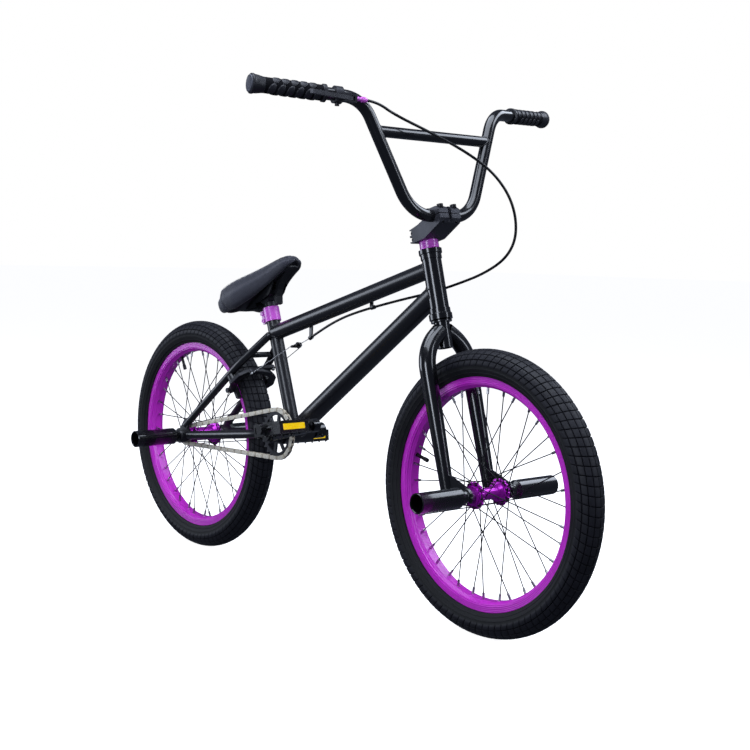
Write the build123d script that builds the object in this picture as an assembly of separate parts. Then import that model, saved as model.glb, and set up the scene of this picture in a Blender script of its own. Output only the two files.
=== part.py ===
from build123d import *
import os
from math import asin, atan2, cos, degrees, hypot, pi, radians, sin, sqrt, tan

# A 20 inch freestyle BMX bike. Millimetres. +X points forward, +Y to the rider's left, +Z up.
# The origin is on the ground, midway between the two axles, in the middle plane of the frame.

# ---------------------------------------------------------------- driving dimensions
WHEELBASE = 906.0
FIT = 0.05                # radial clearance of running and sliding fits
GAP = 0.4                 # clearance between bodies that only pass each other

TYRE_RADIUS = 258.0
TYRE_WIDTH = 56.7
TYRE_WALL = 4.0
RIM_RADIUS = 209.0
RIM_WIDTH = 34.0
RIM_INNER_RADIUS = 190.0
SPOKES = 36
SPOKE_RADIUS = 1.0
SPOKE_LEAD = 60.0         # degrees between a spoke's hub hole and its rim hole, three crossings
AXLE_RADIUS = 7.0
FRONT_WIDTH = 100.0       # between the front dropouts
REAR_WIDTH = 110.0        # between the rear dropouts
HUB_END = 37.9            # half length of a hub shell
FLANGE_Y = 32.0
FLANGE_THICK = 3.4

PEG_LENGTH = 112.0
PEG_RADIUS = 18.0
PEG_WALL = 2.8
PEG_NECK = 11.0

HEAD_ANGLE = 74.4
HEAD_BOTTOM = (320.3, 0, 568.8)
HEAD_RADIUS = 18.0
HEAD_TUBE_LOW, HEAD_TUBE_TOP = 2.0, 113.0
CUP_RADIUS = 21.5
STEERER_RADIUS = 14.3
STEERER_LOW, STEERER_TOP = -62.0, 164.0
LEG_Y = 52.8
LEG_TOP_RADIUS = 15.5
LEG_END_RADIUS = 12.0
LEG_BEND = 75.0
LEG_END = -322.0

BB_Z = 301.8
SEAT_ANGLE = 70.45
SEAT_TUBE_RADIUS = 14.3
SEAT_TUBE_LENGTH = 270.0
SEAT_POST_RADIUS = 12.7
TOP_TUBE_RADIUS = 15.9
TOP_TUBE_AT_HEAD = 87.0
TOP_TUBE_AT_SEAT = 215.7
DOWN_TUBE_RADIUS = 19.0
DOWN_TUBE_AT_HEAD = 40.3
TUBE_WALL = 1.6
BB_RADIUS = 23.0
BB_HALF = 36.5
CHAIN_STAY_RADIUS = 9.5
SEAT_STAY_RADIUS = 8.0
DROPOUT_THICK = 7.0

PITCH = 12.7
RING_TEETH = 25
COG_TEETH = 9
LINKS = 72
CHAIN_LINE = -45.0
ROLLER_RADIUS = 3.9
CRANK_LENGTH = 175.0
CRANK_ANGLE = 13.0        # the right crank points forward and this far up
SPINDLE_RADIUS = 9.5
PEDAL_MID = 163.0
PEDAL_HALF_WIDTH = 43.0
PEDAL_HALF_LENGTH = 40.0
PEDAL_THICK = 24.0
PEDAL_BARREL_PAST = 8.0    # how far the barrel stands out past the cage
REFLECTOR_HALF = 26.0
PEDAL_TILT = {-1: 13.0, 1: 5.0}

BAR_RADIUS = 11.1
BAR_CLAMP = (43.3, 172.9)                # forward of and up the steering axis
BAR_BASE_Y = 74.3
BAR_TOP = (-38.7, 162.7, 198.3)          # from the clamp centre to the top bend
BAR_END = (-92.4, 363.0, 208.3)
BAR_LOW_BEND, BAR_TOP_BEND = 70.0, 58.0
CROSSBAR_RADIUS = 10.0
CROSSBAR_AT = 0.725
GRIP_LENGTH = 137.0
GRIP_RADIUS = 15.0
STEM_HALF_WIDTH = 26.0

SADDLE_TILT = 22.0
SADDLE_PIVOT_AT = 296.0                  # along the seat tube axis
POST_HEAD_RADIUS = 16.0
BOOT_HALF_WIDTH = 22.0
STUD_REACH = 231.0                       # brake stud from the rear axle, along the seat stays
STUD_Y = 45.0
ARM_LAYERS = {-1: (19.0, 26.0), 1: (27.0, 34.0)}   # distance in front of the stays
LEVER_FROM_END = 160.0
CABLE_RADIUS = 2.5
WIRE_RADIUS = 0.8

# ---------------------------------------------------------------- frames worked out from them
REAR_X, FRONT_X = -WHEELBASE / 2, WHEELBASE / 2
REAR_AXLE = Vector(REAR_X, 0, TYRE_RADIUS)
FRONT_AXLE = Vector(FRONT_X, 0, TYRE_RADIUS)
REAR_HUB = Plane(origin=REAR_AXLE, x_dir=(1, 0, 0), z_dir=(0, 1, 0))
FRONT_HUB = Plane(origin=FRONT_AXLE, x_dir=(1, 0, 0), z_dir=(0, 1, 0))

head_cos, head_sin = cos(radians(HEAD_ANGLE)), sin(radians(HEAD_ANGLE))
HEAD = Plane(origin=HEAD_BOTTOM, x_dir=(head_sin, 0, head_cos), z_dir=(-head_cos, 0, head_sin))


def chain_centres():
    """Distance between crank and rear axle for which the chain has a whole number of links."""
    big, small = PITCH * RING_TEETH / (2 * pi), PITCH * COG_TEETH / (2 * pi)
    distance = 340.0
    for _ in range(40):
        lean = asin((big - small) / distance)
        wrapped = big * (pi + 2 * lean) + small * (pi - 2 * lean)
        straight = (LINKS * PITCH - wrapped) / 2
        distance = hypot(straight, big - small)
    return distance


BB_X = REAR_X + sqrt(chain_centres() ** 2 - (BB_Z - TYRE_RADIUS) ** 2)
BB = Vector(BB_X, 0, BB_Z)
CRANK = Plane(origin=BB, x_dir=(1, 0, 0), z_dir=(0, 1, 0))
seat_cos, seat_sin = cos(radians(SEAT_ANGLE)), sin(radians(SEAT_ANGLE))
SEAT = Plane(origin=BB, x_dir=(seat_sin, 0, seat_cos), z_dir=(-seat_cos, 0, seat_sin))
SADDLE_PIVOT = BB + Vector(-seat_cos, 0, seat_sin) * SADDLE_PIVOT_AT
saddle_cos, saddle_sin = cos(radians(SADDLE_TILT)), sin(radians(SADDLE_TILT))
SADDLE = Plane(origin=SADDLE_PIVOT, x_dir=(saddle_cos, 0, saddle_sin), z_dir=(-saddle_sin, 0, saddle_cos))


def on(plane, x, y, z):
    """A point given in a plane's own axes."""
    return plane.from_local_coords(Vector(x, y, z))


# ---------------------------------------------------------------- shape helpers
def rod(start, end, radius, end_radius=None):
    """A round bar, or a cone, between two points."""
    start, end = Vector(start), Vector(end)
    base = Plane(origin=start, z_dir=end - start)
    length = (end - start).length
    bottom = (Align.CENTER, Align.CENTER, Align.MIN)
    if end_radius is None:
        return base * Cylinder(radius, length, align=bottom)
    return base * Cone(radius, end_radius, length, align=bottom)


def pipe(start, end, radius, wall, end_radius=None):
    """A round tube between two points."""
    start, end = Vector(start), Vector(end)
    over = (end - start).normalized() * 0.01
    inner_end = None if end_radius is None else end_radius - wall
    return rod(start, end, radius, end_radius) - rod(start - over, end + over, radius - wall, inner_end)


def lathe(points, base):
    """A solid of revolution about a plane's z axis; points are (radius, along)."""
    outline = Plane.XZ * make_face(Polyline(*points, close=True))
    return base * revolve(outline, Axis.Z)


def ring(base, outer, inner, low, high):
    """A washer-shaped solid about a plane's z axis."""
    return lathe([(inner, low), (outer, low), (outer, high), (inner, high)], base)


def block(base, low, high):
    """A box between two corners given in a plane's own axes."""
    size = [b - a for a, b in zip(low, high)]
    middle = [(a + b) / 2 for a, b in zip(low, high)]
    return base * Pos(*middle) * Box(*size)


def plate(base, points, low, high):
    """A flat plate in a plane's x-z section, from y = low to y = high."""
    outline = make_face(Polyline(*points, close=True))
    side = Plane(origin=base.origin, x_dir=base.x_dir, z_dir=-base.y_dir)
    solid = extrude(side * outline, amount=high - low, dir=base.y_dir)
    return Pos(*(base.y_dir * low)) * solid


def bent(points, radii, radius, wall=0.0):
    """A round bar or tube along straight runs joined by arcs."""
    path = FilletPolyline(*points, radius=radii)
    start = Plane(origin=path @ 0, z_dir=path % 0)
    solid = sweep(start * Circle(radius), path)
    if wall:
        solid = solid - sweep(start * Circle(radius - wall), path)
    return solid


def bolt(base, x, y, low, high, radius, head_radius, head_height, socket=2.5):
    """A socket-head bolt along a plane's z axis, its head above high."""
    here = base * Pos(x, y, 0)
    shank = here * Pos(0, 0, (low + high) / 2) * Cylinder(radius, high - low)
    head = here * Pos(0, 0, high + head_height / 2) * Cylinder(head_radius, head_height)
    key = here * Pos(0, 0, high + head_height * 0.75) * extrude(RegularPolygon(socket, 6), head_height)
    return shank + head - key


def across(x, z, toward=1):
    """A plane on a point of the middle plane, with z along +Y or -Y."""
    return Plane(origin=(x, 0, z), x_dir=(1, 0, 0), z_dir=(0, toward, 0))


def both_sides(shape):
    """A shape and its mirror image, as separate solids."""
    return Compound(children=[*shape.solids(), *mirror(shape, Plane.XZ).solids()])


def pieces(*shapes):
    """Separate solids kept apart in one node."""
    return Compound(children=[solid for shape in shapes for solid in shape.solids()])


def save(name, shape):
    shape.label = name
    export_step(shape, f"parts/{name}.step")


os.makedirs("parts", exist_ok=True)


# ---------------------------------------------------------------- frame
def head_tube():
    tube = ring(HEAD, HEAD_RADIUS, 15.6, HEAD_TUBE_LOW, HEAD_TUBE_TOP)
    for low, high in ((HEAD_TUBE_LOW, HEAD_TUBE_LOW + 9), (HEAD_TUBE_TOP - 9, HEAD_TUBE_TOP)):
        tube = tube + ring(HEAD, HEAD_RADIUS + 1.6, HEAD_RADIUS - 0.5, low, high)
    return tube


def headset_cups():
    shelf = STEERER_RADIUS + FIT
    lower = lathe([(shelf, -9), (CUP_RADIUS, -9), (CUP_RADIUS, 1), (CUP_RADIUS - 1, 2), (shelf, 2)], HEAD)
    upper = lathe([(shelf, 113), (CUP_RADIUS - 1, 113), (CUP_RADIUS, 114), (CUP_RADIUS, 122), (shelf, 122)],
                  HEAD)
    races = [ring(HEAD, 20.0, 17.6, -7.5, -1), ring(HEAD, 20.0, 17.6, 115.5, 121)]
    for race in races:
        lower, upper = lower - race, upper - race
    return pieces(lower, upper, *races)


HEAD_LOW = on(HEAD, 0, 0, HEAD_TUBE_LOW)
HEAD_HIGH = on(HEAD, 0, 0, HEAD_TUBE_TOP)
HEAD_SOLID = rod(HEAD_LOW, HEAD_HIGH, HEAD_RADIUS)
SEAT_TOP = on(SEAT, 0, 0, SEAT_TUBE_LENGTH)
SEAT_SOLID = rod(BB, SEAT_TOP, SEAT_TUBE_RADIUS)
BB_SOLID = rod((BB_X, -BB_HALF, BB_Z), (BB_X, BB_HALF, BB_Z), BB_RADIUS)


def top_tube():
    start = on(SEAT, 4, 0, TOP_TUBE_AT_SEAT)
    end = on(HEAD, -4, 0, TOP_TUBE_AT_HEAD)
    return pipe(start, end, TOP_TUBE_RADIUS, TUBE_WALL) - SEAT_SOLID - HEAD_SOLID


def down_tube():
    start = BB
    end = on(HEAD, -4, 0, DOWN_TUBE_AT_HEAD)
    return pipe(start, end, DOWN_TUBE_RADIUS, TUBE_WALL) - BB_SOLID - SEAT_SOLID - HEAD_SOLID


def seat_tube():
    inner = SEAT_POST_RADIUS + FIT
    tube = ring(SEAT, SEAT_TUBE_RADIUS, inner, 0, SEAT_TUBE_LENGTH)
    slot = block(SEAT, (-20, -1.5, SEAT_TUBE_LENGTH - 26), (-5, 1.5, SEAT_TUBE_LENGTH + 5))
    return tube - BB_SOLID - slot


def bb_shell():
    return lathe([(20.5, -BB_HALF), (BB_RADIUS, -BB_HALF), (BB_RADIUS, BB_HALF), (20.5, BB_HALF)], CRANK)


def bb_bearings():
    inner = SPINDLE_RADIUS + FIT
    right = ring(CRANK, 20.5, inner, -BB_HALF + 1, -BB_HALF + 9)
    left = ring(CRANK, 20.5, inner, BB_HALF - 9, BB_HALF - 1)
    spacer = ring(CRANK, 12.5, 11.0, -BB_HALF + 9, BB_HALF - 9)
    return pieces(right, left, spacer)


def stay_point(along, y, aside=0.0, target=None):
    """A point on the line from the rear axle to a target, moved square to that line."""
    run = (target - REAR_AXLE).normalized()
    square = Vector(-run.Z, 0, run.X)
    return REAR_AXLE + run * along + square * aside + Vector(0, y, 0)


SEAT_STAY_TARGET = on(SEAT, 0, 0, 213)


def stay(points, bends, radius):
    solid = bent(points, bends, radius, TUBE_WALL)
    return solid - SEAT_SOLID - rod((BB_X, -60, BB_Z), (BB_X, 60, BB_Z), BB_RADIUS) - dropout(-1)


def dropout(side):
    """A slotted plate that joins one chain stay and one seat stay to the axle."""
    face = Plane(origin=REAR_AXLE, x_dir=(1, 0, 0), z_dir=(0, -1, 0))
    web = [(-14, -9), (2, -16), (26, -11), (52, -1), (54, 11), (36, 14), (30, 20), (37, 33), (30, 43), (22, 42),
           (2, 17), (-13, 11)]
    solid = face * (extrude(make_face(Polyline(*web, close=True)), DROPOUT_THICK)
                    + Pos(0, 0, DROPOUT_THICK / 2) * Cylinder(17, DROPOUT_THICK))
    slot = face * (Pos(0, 0, 2) * Cylinder(AXLE_RADIUS + 0.2, 30)
                   + Pos(-20, 0, 2) * Box(40, 2 * AXLE_RADIUS + 0.4, 30))
    solid = Pos(0, -REAR_WIDTH / 2, 0) * (solid - slot)
    return solid if side < 0 else mirror(solid, Plane.XZ)


def chain_stays():
    points = [stay_point(36, -58.5, 0, BB), stay_point(258, -42.5, 0, BB), stay_point(311, -27.5, 0, BB),
              stay_point(336, -27.5, 0, BB)]
    return both_sides(stay(points, [90, 60], CHAIN_STAY_RADIUS))


def seat_stays():
    target = SEAT_STAY_TARGET
    low, knee = stay_point(33, -58.5, 5, target), stay_point(262, -41, 0, target)
    outer = bent([low, knee, stay_point(368, -14, 0, target)], [200], SEAT_STAY_RADIUS)
    rim = outer.edges().filter_by(GeomType.CIRCLE).sort_by(Axis.Z)[-1]
    bore = bent([low, knee, stay_point(346, -19.5, 0, target)], [200], SEAT_STAY_RADIUS - TUBE_WALL)
    solid = fillet(rim, SEAT_STAY_RADIUS * 0.7) - bore - SEAT_SOLID
    solid = solid - rod((BB_X, -60, BB_Z), (BB_X, 60, BB_Z), BB_RADIUS) - dropout(-1)
    solid = solid - rod(on(SEAT, 4, 0, TOP_TUBE_AT_SEAT), on(HEAD, -4, 0, TOP_TUBE_AT_HEAD), TOP_TUBE_RADIUS)
    return both_sides(solid.solids().sort_by(SortBy.VOLUME)[-1])


def stay_bridges():
    seat_end = stay_point(296, -33.5, 0, SEAT_STAY_TARGET)
    chain_end = stay_point(283, -32, 0, BB)
    upper = rod(seat_end, (seat_end.X, -seat_end.Y, seat_end.Z), 6.0)
    lower = rod(chain_end, (chain_end.X, -chain_end.Y, chain_end.Z), 7.0)
    cut = pieces(SEAT_STAYS, CHAIN_STAYS)
    return pieces((upper - cut).solids().sort_by(SortBy.VOLUME)[-1],
                  (lower - cut).solids().sort_by(SortBy.VOLUME)[-1])


def stay_frame(side):
    """Axes at a brake stud: x across towards +Y, y outwards along the stay, z forwards off the stay."""
    run = (SEAT_STAY_TARGET - REAR_AXLE).normalized()
    forward = Vector(run.Z, 0, -run.X)
    origin = REAR_AXLE + run * STUD_REACH + Vector(0, side * STUD_Y, 0)
    return Plane(origin=origin, x_dir=(0, 1, 0), z_dir=forward)


def braze_ons():
    """Brake studs on the seat stays, cable stop and cable guide under the top tube."""
    studs = []
    for side in (-1, 1):
        base = stay_frame(side)
        top = ARM_LAYERS[side][1] + 1.5
        boss = base * Pos(0, 0, 12) * Cylinder(9, 2 * (ARM_LAYERS[side][0] - GAP - 12)) - SEAT_STAYS
        studs.append(boss.solids().sort_by(SortBy.VOLUME)[-1])
        studs.append(base * Pos(0, 0, (ARM_LAYERS[side][0] - GAP + top) / 2)
                     * Cylinder(4.0, top - ARM_LAYERS[side][0] + GAP))
    tube = rod(on(SEAT, 4, 0, TOP_TUBE_AT_SEAT), on(HEAD, -4, 0, TOP_TUBE_AT_HEAD), TOP_TUBE_RADIUS)
    stop_run = Vector(CABLE_STOP) - Vector(CABLE_ROUTE[-1])
    barrel = rod(CABLE_STOP, Vector(CABLE_STOP) + stop_run.normalized() * 9, 4.5)
    barrel = barrel - rod(Vector(CABLE_STOP) - stop_run, Vector(CABLE_STOP) + stop_run, 1.1)
    tab_foot = Vector(CABLE_STOP) + stop_run.normalized() * 4.5
    tab = block(Plane(origin=tab_foot), (-4, -2, 0), (4, 2, 26)) - tube
    tab = tab - rod(Vector(CABLE_STOP) - stop_run, Vector(CABLE_STOP) + stop_run, 4.4)
    guide_at = (Vector(CABLE_ROUTE[GUIDE_BETWEEN]) + Vector(CABLE_ROUTE[GUIDE_BETWEEN + 1])) * 0.5
    run = Vector(CABLE_ROUTE[GUIDE_BETWEEN + 1]) - Vector(CABLE_ROUTE[GUIDE_BETWEEN])
    clip = ring(Plane(origin=guide_at, z_dir=run), CABLE_RADIUS + 1.6, CABLE_RADIUS + 0.1, -5, 5)
    post = block(Plane(origin=guide_at, z_dir=(0, 0, 1)), (-4, -1.5, 0), (4, 1.5, 24))
    post = Pos(0, -CABLE_RADIUS - 1.2, 0) * post - tube - rod(CABLE_ROUTE[GUIDE_BETWEEN],
                                                              CABLE_ROUTE[GUIDE_BETWEEN + 1], CABLE_RADIUS + 0.1)
    return pieces(*studs, (barrel + tab.solids().sort_by(SortBy.VOLUME)[-1]),
                  (clip + post.solids().sort_by(SortBy.VOLUME)[-1]))


def seat_clamp():
    low, high = 241, 271
    body = ring(SEAT, 17.4, SEAT_TUBE_RADIUS, low, high)
    ears = block(SEAT, (-26, -8, low + 1), (-14, 8, high - 1)) - rod(on(SEAT, 0, 0, low - 1),
                                                                    on(SEAT, 0, 0, high + 1), 16)
    body = body + ears - block(SEAT, (-40, -1.2, low - 1), (-5, 1.2, high + 1))
    bolts = []
    for height in (low + 7.5, high - 7.5):
        where = on(SEAT, -20.5, 0, height)
        base = Plane(origin=where, x_dir=(1, 0, 0), z_dir=(0, -1, 0))
        screw = bolt(base, 0, 0, -8, 8, 2.4, 4.2, 4.0)
        body = body - base * Cylinder(2.4, 40)
        bolts.append(screw)
    return pieces(body, *bolts)


# ---------------------------------------------------------------- steering
def fork_steerer():
    tube = ring(HEAD, STEERER_RADIUS, STEERER_RADIUS - 2.5, STEERER_LOW, STEERER_TOP)
    race = lathe([(STEERER_RADIUS, -14), (19.5, -14), (19.5, -11.5), (17.5, -9.4), (STEERER_RADIUS, -9.4)], HEAD)
    return pieces(tube, race)


FORK_AXLE = HEAD.to_local_coords(FRONT_AXLE)


def fork_plate(side):
    """The slotted plate that carries the front axle forward of a fork leg."""
    ax, az = FORK_AXLE.X, FORK_AXLE.Z
    corner = [(-9, LEG_END - 1), (9, LEG_END + 44), (12, LEG_END + 30), (ax + 9, az + 13), (ax + 15, az - 4),
              (ax + 9, az - 13), (ax - 8, az - 14), (2, LEG_END - 8)]
    solid = plate(HEAD, corner, -3, 3)
    hole = plate(HEAD, [(ax - 7.2, az), (ax + 7.2, az), (ax + 11, az - 30), (ax - 3.4, az - 30)], -5, 5)
    axis = Plane(origin=on(HEAD, ax, 0, az), x_dir=(1, 0, 0), z_dir=(0, 1, 0))
    solid = solid + axis * Cylinder(15, 6) - axis * Cylinder(AXLE_RADIUS + 0.2, 12) - hole
    return Pos(0, side * (FRONT_WIDTH / 2 + 3), 0) * solid


def fork_leg():
    """The right fork leg: a tube that bends down from the crown and tapers towards the axle."""
    turn = LEG_BEND * tan(radians((90 - degrees(atan2(32, LEG_Y - 8))) / 2))
    run = [on(HEAD, 0, -8, -30), on(HEAD, 0, -LEG_Y, -62), on(HEAD, 0, -LEG_Y, -64 - turn)]
    wall = 2.2
    outer = bent(run, [LEG_BEND], LEG_TOP_RADIUS)
    outer = outer + rod(run[2], on(HEAD, 0, -LEG_Y, LEG_END), LEG_TOP_RADIUS, LEG_END_RADIUS)
    inner = bent(run, [LEG_BEND], LEG_TOP_RADIUS - wall)
    inner = inner + rod(run[2], on(HEAD, 0, -LEG_Y, LEG_END + 3), LEG_TOP_RADIUS - wall, LEG_END_RADIUS - wall)
    steerer = rod(on(HEAD, 0, 0, STEERER_LOW - 20), on(HEAD, 0, 0, 0), STEERER_RADIUS)
    leg = outer - inner - steerer - fork_plate(-1)
    return leg.solids().sort_by(SortBy.VOLUME)[-1]


def fork_legs():
    return pieces(both_sides(fork_leg()), fork_plate(-1), fork_plate(1))


def headset_spacers():
    inner = STEERER_RADIUS
    cover = lathe([(inner, 122.4), (19.0, 122.4), (17.5, 124), (inner, 124)], HEAD)
    tall = ring(HEAD, 17.8, inner, 124, 134)
    low = ring(HEAD, 17.8, inner, 134, 138.5)
    return pieces(cover, tall, low)


CLAMP_X, CLAMP_Z = BAR_CLAMP
SEAM = 0.7                # half the gap between stem body and cap
STEM_BOLTS = [(CLAMP_X + dx, side * 16.5) for dx in (-16.8, 16.8) for side in (-1, 1)]


def bar_bore(radius):
    return across_head(radius, 200)


def across_head(radius, length):
    centre = on(HEAD, CLAMP_X, 0, CLAMP_Z)
    return Plane(origin=centre, x_dir=(1, 0, 0), z_dir=(0, 1, 0)) * Cylinder(radius, length)


def stem_body():
    profile = [(-21, 138.5), (16, 138.5), (CLAMP_X + 18, 156), (CLAMP_X + 22.5, 164),
               (CLAMP_X + 22.5, CLAMP_Z - SEAM), (CLAMP_X - 22.5, CLAMP_Z - SEAM), (4, 167), (-19, 163)]
    body = plate(HEAD, profile, -STEM_HALF_WIDTH, STEM_HALF_WIDTH)
    body = body - rod(on(HEAD, 0, 0, 130), on(HEAD, 0, 0, 166.5), STEERER_RADIUS) - bar_bore(BAR_RADIUS)
    body = body - block(HEAD, (-40, -1.2, 130), (0, 1.2, 180))
    body = body - block(HEAD, (CLAMP_X + 17, -4, 158), (CLAMP_X + 40, 4, 180))
    for x, y in STEM_BOLTS:
        body = body - Plane(HEAD.location * Pos(x, y, 168)) * Cylinder(3.5, 24)
    for height in (145, 157):
        where = Plane(origin=on(HEAD, -17.4, 0, height), x_dir=(1, 0, 0), z_dir=(0, -1, 0))
        body = body - where * Cylinder(2.4, 100) - where * Pos(0, 0, 23) * Cylinder(4.8, 14)
    return body


def stem_cap():
    profile = [(CLAMP_X - 22.5, CLAMP_Z + SEAM), (CLAMP_X + 22.5, CLAMP_Z + SEAM), (CLAMP_X + 22.5, 181),
               (CLAMP_X + 15, 187.5), (CLAMP_X - 15, 187.5), (CLAMP_X - 22.5, 181)]
    cap = plate(HEAD, profile, -STEM_HALF_WIDTH, STEM_HALF_WIDTH) - bar_bore(BAR_RADIUS)
    cap = cap - block(HEAD, (CLAMP_X + 13, -4, 170), (CLAMP_X + 40, 4, 200))
    for x, y in STEM_BOLTS:
        here = Plane(HEAD.location * Pos(x, y, 180))
        cap = cap - here * Cylinder(3.5, 40) - here * Pos(0, 0, 9) * Cylinder(6.2, 8)
    return cap


def stem_bolts():
    screws = [bolt(HEAD, x, y, 158, 185, 3.5, 5.8, 5.5, 3.0) for x, y in STEM_BOLTS]
    for height in (145, 157):
        where = Plane(origin=on(HEAD, -17.4, 0, height), x_dir=(1, 0, 0), z_dir=(0, -1, 0))
        screws.append(bolt(where, 0, 0, -20, 16, 2.4, 4.5, 5.0))
    return pieces(*screws)


CLAMP_CENTRE = on(HEAD, CLAMP_X, 0, CLAMP_Z)


def bar_point(x, y, z, side):
    return CLAMP_CENTRE + Vector(x, side * y, z)


BAR_POINTS = [bar_point(*BAR_END, -1), bar_point(*BAR_TOP, -1), bar_point(0, BAR_BASE_Y, 0, -1),
              bar_point(0, BAR_BASE_Y, 0, 1), bar_point(*BAR_TOP, 1), bar_point(*BAR_END, 1)]


def handlebar():
    bends = [BAR_TOP_BEND, BAR_LOW_BEND, BAR_LOW_BEND, BAR_TOP_BEND]
    return bent(BAR_POINTS, bends, BAR_RADIUS, 2.0)


def leg_point(fraction, side):
    top = Vector(*BAR_TOP)
    base = Vector(0, BAR_BASE_Y, 0)
    at = base + (top - base) * fraction
    return bar_point(at.X, at.Y, at.Z, side)


def crossbar():
    right, left = leg_point(CROSSBAR_AT, -1), leg_point(CROSSBAR_AT, 1)
    bar = pipe(right, left, CROSSBAR_RADIUS, 1.8)
    for side in (-1, 1):
        bar = bar - rod(leg_point(0.3, side), leg_point(1.0, side), BAR_RADIUS)
    return bar.solids().sort_by(SortBy.VOLUME)[-1]


def bar_axes(side, from_end):
    """Axes on the bar's grip section: z towards the bar's end, x forward, y up."""
    end, top = BAR_POINTS[0 if side < 0 else 5], BAR_POINTS[1 if side < 0 else 4]
    out = (end - top).normalized()
    forward = Vector(-out.Y, out.X, 0).normalized() * (1 if side < 0 else -1)
    return Plane(origin=end - out * from_end, x_dir=forward, z_dir=out)


def grips():
    parts = []
    for side in (-1, 1):
        base = bar_axes(side, GRIP_LENGTH)
        profile = [(BAR_RADIUS, 0), (GRIP_RADIUS + 1, 0), (GRIP_RADIUS + 1, 4)]
        for rib in range(13):
            start = 6 + rib * 9
            profile += [(GRIP_RADIUS - 1.5, start), (GRIP_RADIUS, start + 1.5), (GRIP_RADIUS, start + 6),
                        (GRIP_RADIUS - 1.5, start + 7.5)]
        profile += [(GRIP_RADIUS + 1.4, GRIP_LENGTH - 9), (GRIP_RADIUS + 1.4, GRIP_LENGTH - 0.5),
                    (BAR_RADIUS, GRIP_LENGTH - 0.5)]
        parts.append(lathe(profile, base))
        parts.append(lathe([(0, GRIP_LENGTH), (14, GRIP_LENGTH), (14, GRIP_LENGTH + 2), (11.5, GRIP_LENGTH + 4),
                            (0, GRIP_LENGTH + 4)], base))
    return pieces(*parts)


LEVER = bar_axes(-1, LEVER_FROM_END)
LEVER_PIVOT = (25.0, -6.0, -8.0)
ADJUSTER_START = (21.0, -5.0, -23.0)
ADJUSTER_END = (16.0, -5.0, -49.0)


def lever_bracket():
    clamp = ring(LEVER, 15.2, BAR_RADIUS, -7, 7)
    px, py, pz = LEVER_PIVOT
    arm = block(LEVER, (8, -13, -7), (16.4, 1, 7)) - rod(on(LEVER, 0, 0, -30), on(LEVER, 0, 0, 30), 13)
    cheeks = [block(LEVER, (12, py + low, pz - 8), (px + 6, py + high, pz + 8))
              for low, high in ((4.0, 7.0), (-7.0, -4.0))]
    cheeks = [cheek - rod(on(LEVER, 0, 0, -30), on(LEVER, 0, 0, 30), 12.5) for cheek in cheeks]
    back = block(LEVER, (13.5, py - 7, -25), (px + 5, py + 7, -21))
    rails = [block(LEVER, (px - 6, py + low, -24), (px + 5, py + high, pz - 6))
             for low, high in ((4.0, 7.0), (-7.0, -4.0))]
    pin = rod(on(LEVER, px, py - 8, pz), on(LEVER, px, py + 8, pz), 2.4)
    screw = rod(on(LEVER, 2, -13, 0), on(LEVER, 2, -19, 0), 4.0)
    body = clamp + arm + cheeks[0] + cheeks[1] + back + rails[0] + rails[1]
    body = body - rod(on(LEVER, *ADJUSTER_START) + lever_run() * 8, on(LEVER, *ADJUSTER_START) - lever_run() * 8,
                      2.2) - pin
    body = body - rod(on(LEVER, 0, 0, -30), on(LEVER, 0, 0, 30), BAR_RADIUS)
    return pieces(body.solids().sort_by(SortBy.VOLUME)[-1], pin, screw - body)


def lever_run():
    return (on(LEVER, *ADJUSTER_END) - on(LEVER, *ADJUSTER_START)).normalized()


def barrel_adjuster():
    start, run = on(LEVER, *ADJUSTER_START), lever_run()
    start = start + run * 2.9
    base = Plane(origin=start, z_dir=run)
    body = lathe([(1.6, 0), (4.2, 0), (4.2, 6), (3.4, 7), (3.4, 11), (5.0, 12), (5.0, 19), (4.0, 23.4), (1.6, 23.4)],
                 base)
    return body


def lever_blade():
    px, py, pz = LEVER_PIVOT
    outline = [(px - 5, pz - 11), (px + 4, pz - 10), (px + 6.5, pz), (px + 11, pz + 22), (px + 18, pz + 50),
               (px + 25, pz + 74), (px + 22, pz + 78), (px + 17, pz + 74), (px + 10, pz + 48), (px + 1, pz + 24),
               (px - 4.5, pz + 8)]
    side = Plane(origin=on(LEVER, 0, py - 3.6, 0), x_dir=LEVER.z_dir, z_dir=LEVER.y_dir)
    face = make_face(Polyline(*[(z, x) for x, z in outline], close=True))
    blade = extrude(side * face, 7.2)
    return blade - rod(on(LEVER, px, py - 10, pz), on(LEVER, px, py + 10, pz), 2.4 + FIT)


# ---------------------------------------------------------------- wheels, axles and pegs
def tyre(hub):
    mid = TYRE_RADIUS - TYRE_WIDTH / 2
    outer, inner = TYRE_WIDTH / 2, TYRE_WIDTH / 2 - TYRE_WALL
    low_out = sqrt(outer ** 2 - (mid - 212) ** 2)
    low_in = sqrt(inner ** 2 - (mid - 214) ** 2)
    bead = [(212, low_out), (209.3, low_out - 2.6), (209.3, 15), (204.2, 15), (204.2, 10.5), (208.5, 10.5),
            (214, low_in)]
    flip = [(r, -y) for r, y in reversed(bead)]
    outline = [ThreePointArc((212, -low_out), (TYRE_RADIUS, 0), (212, low_out)), Polyline(*bead),
               ThreePointArc((214, low_in), (mid + inner, 0), (214, -low_in)), Polyline(*flip)]
    face = Plane.XZ * make_face([edge for line in outline for edge in line.edges()])
    return hub * revolve(face, Axis.Z)


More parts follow.
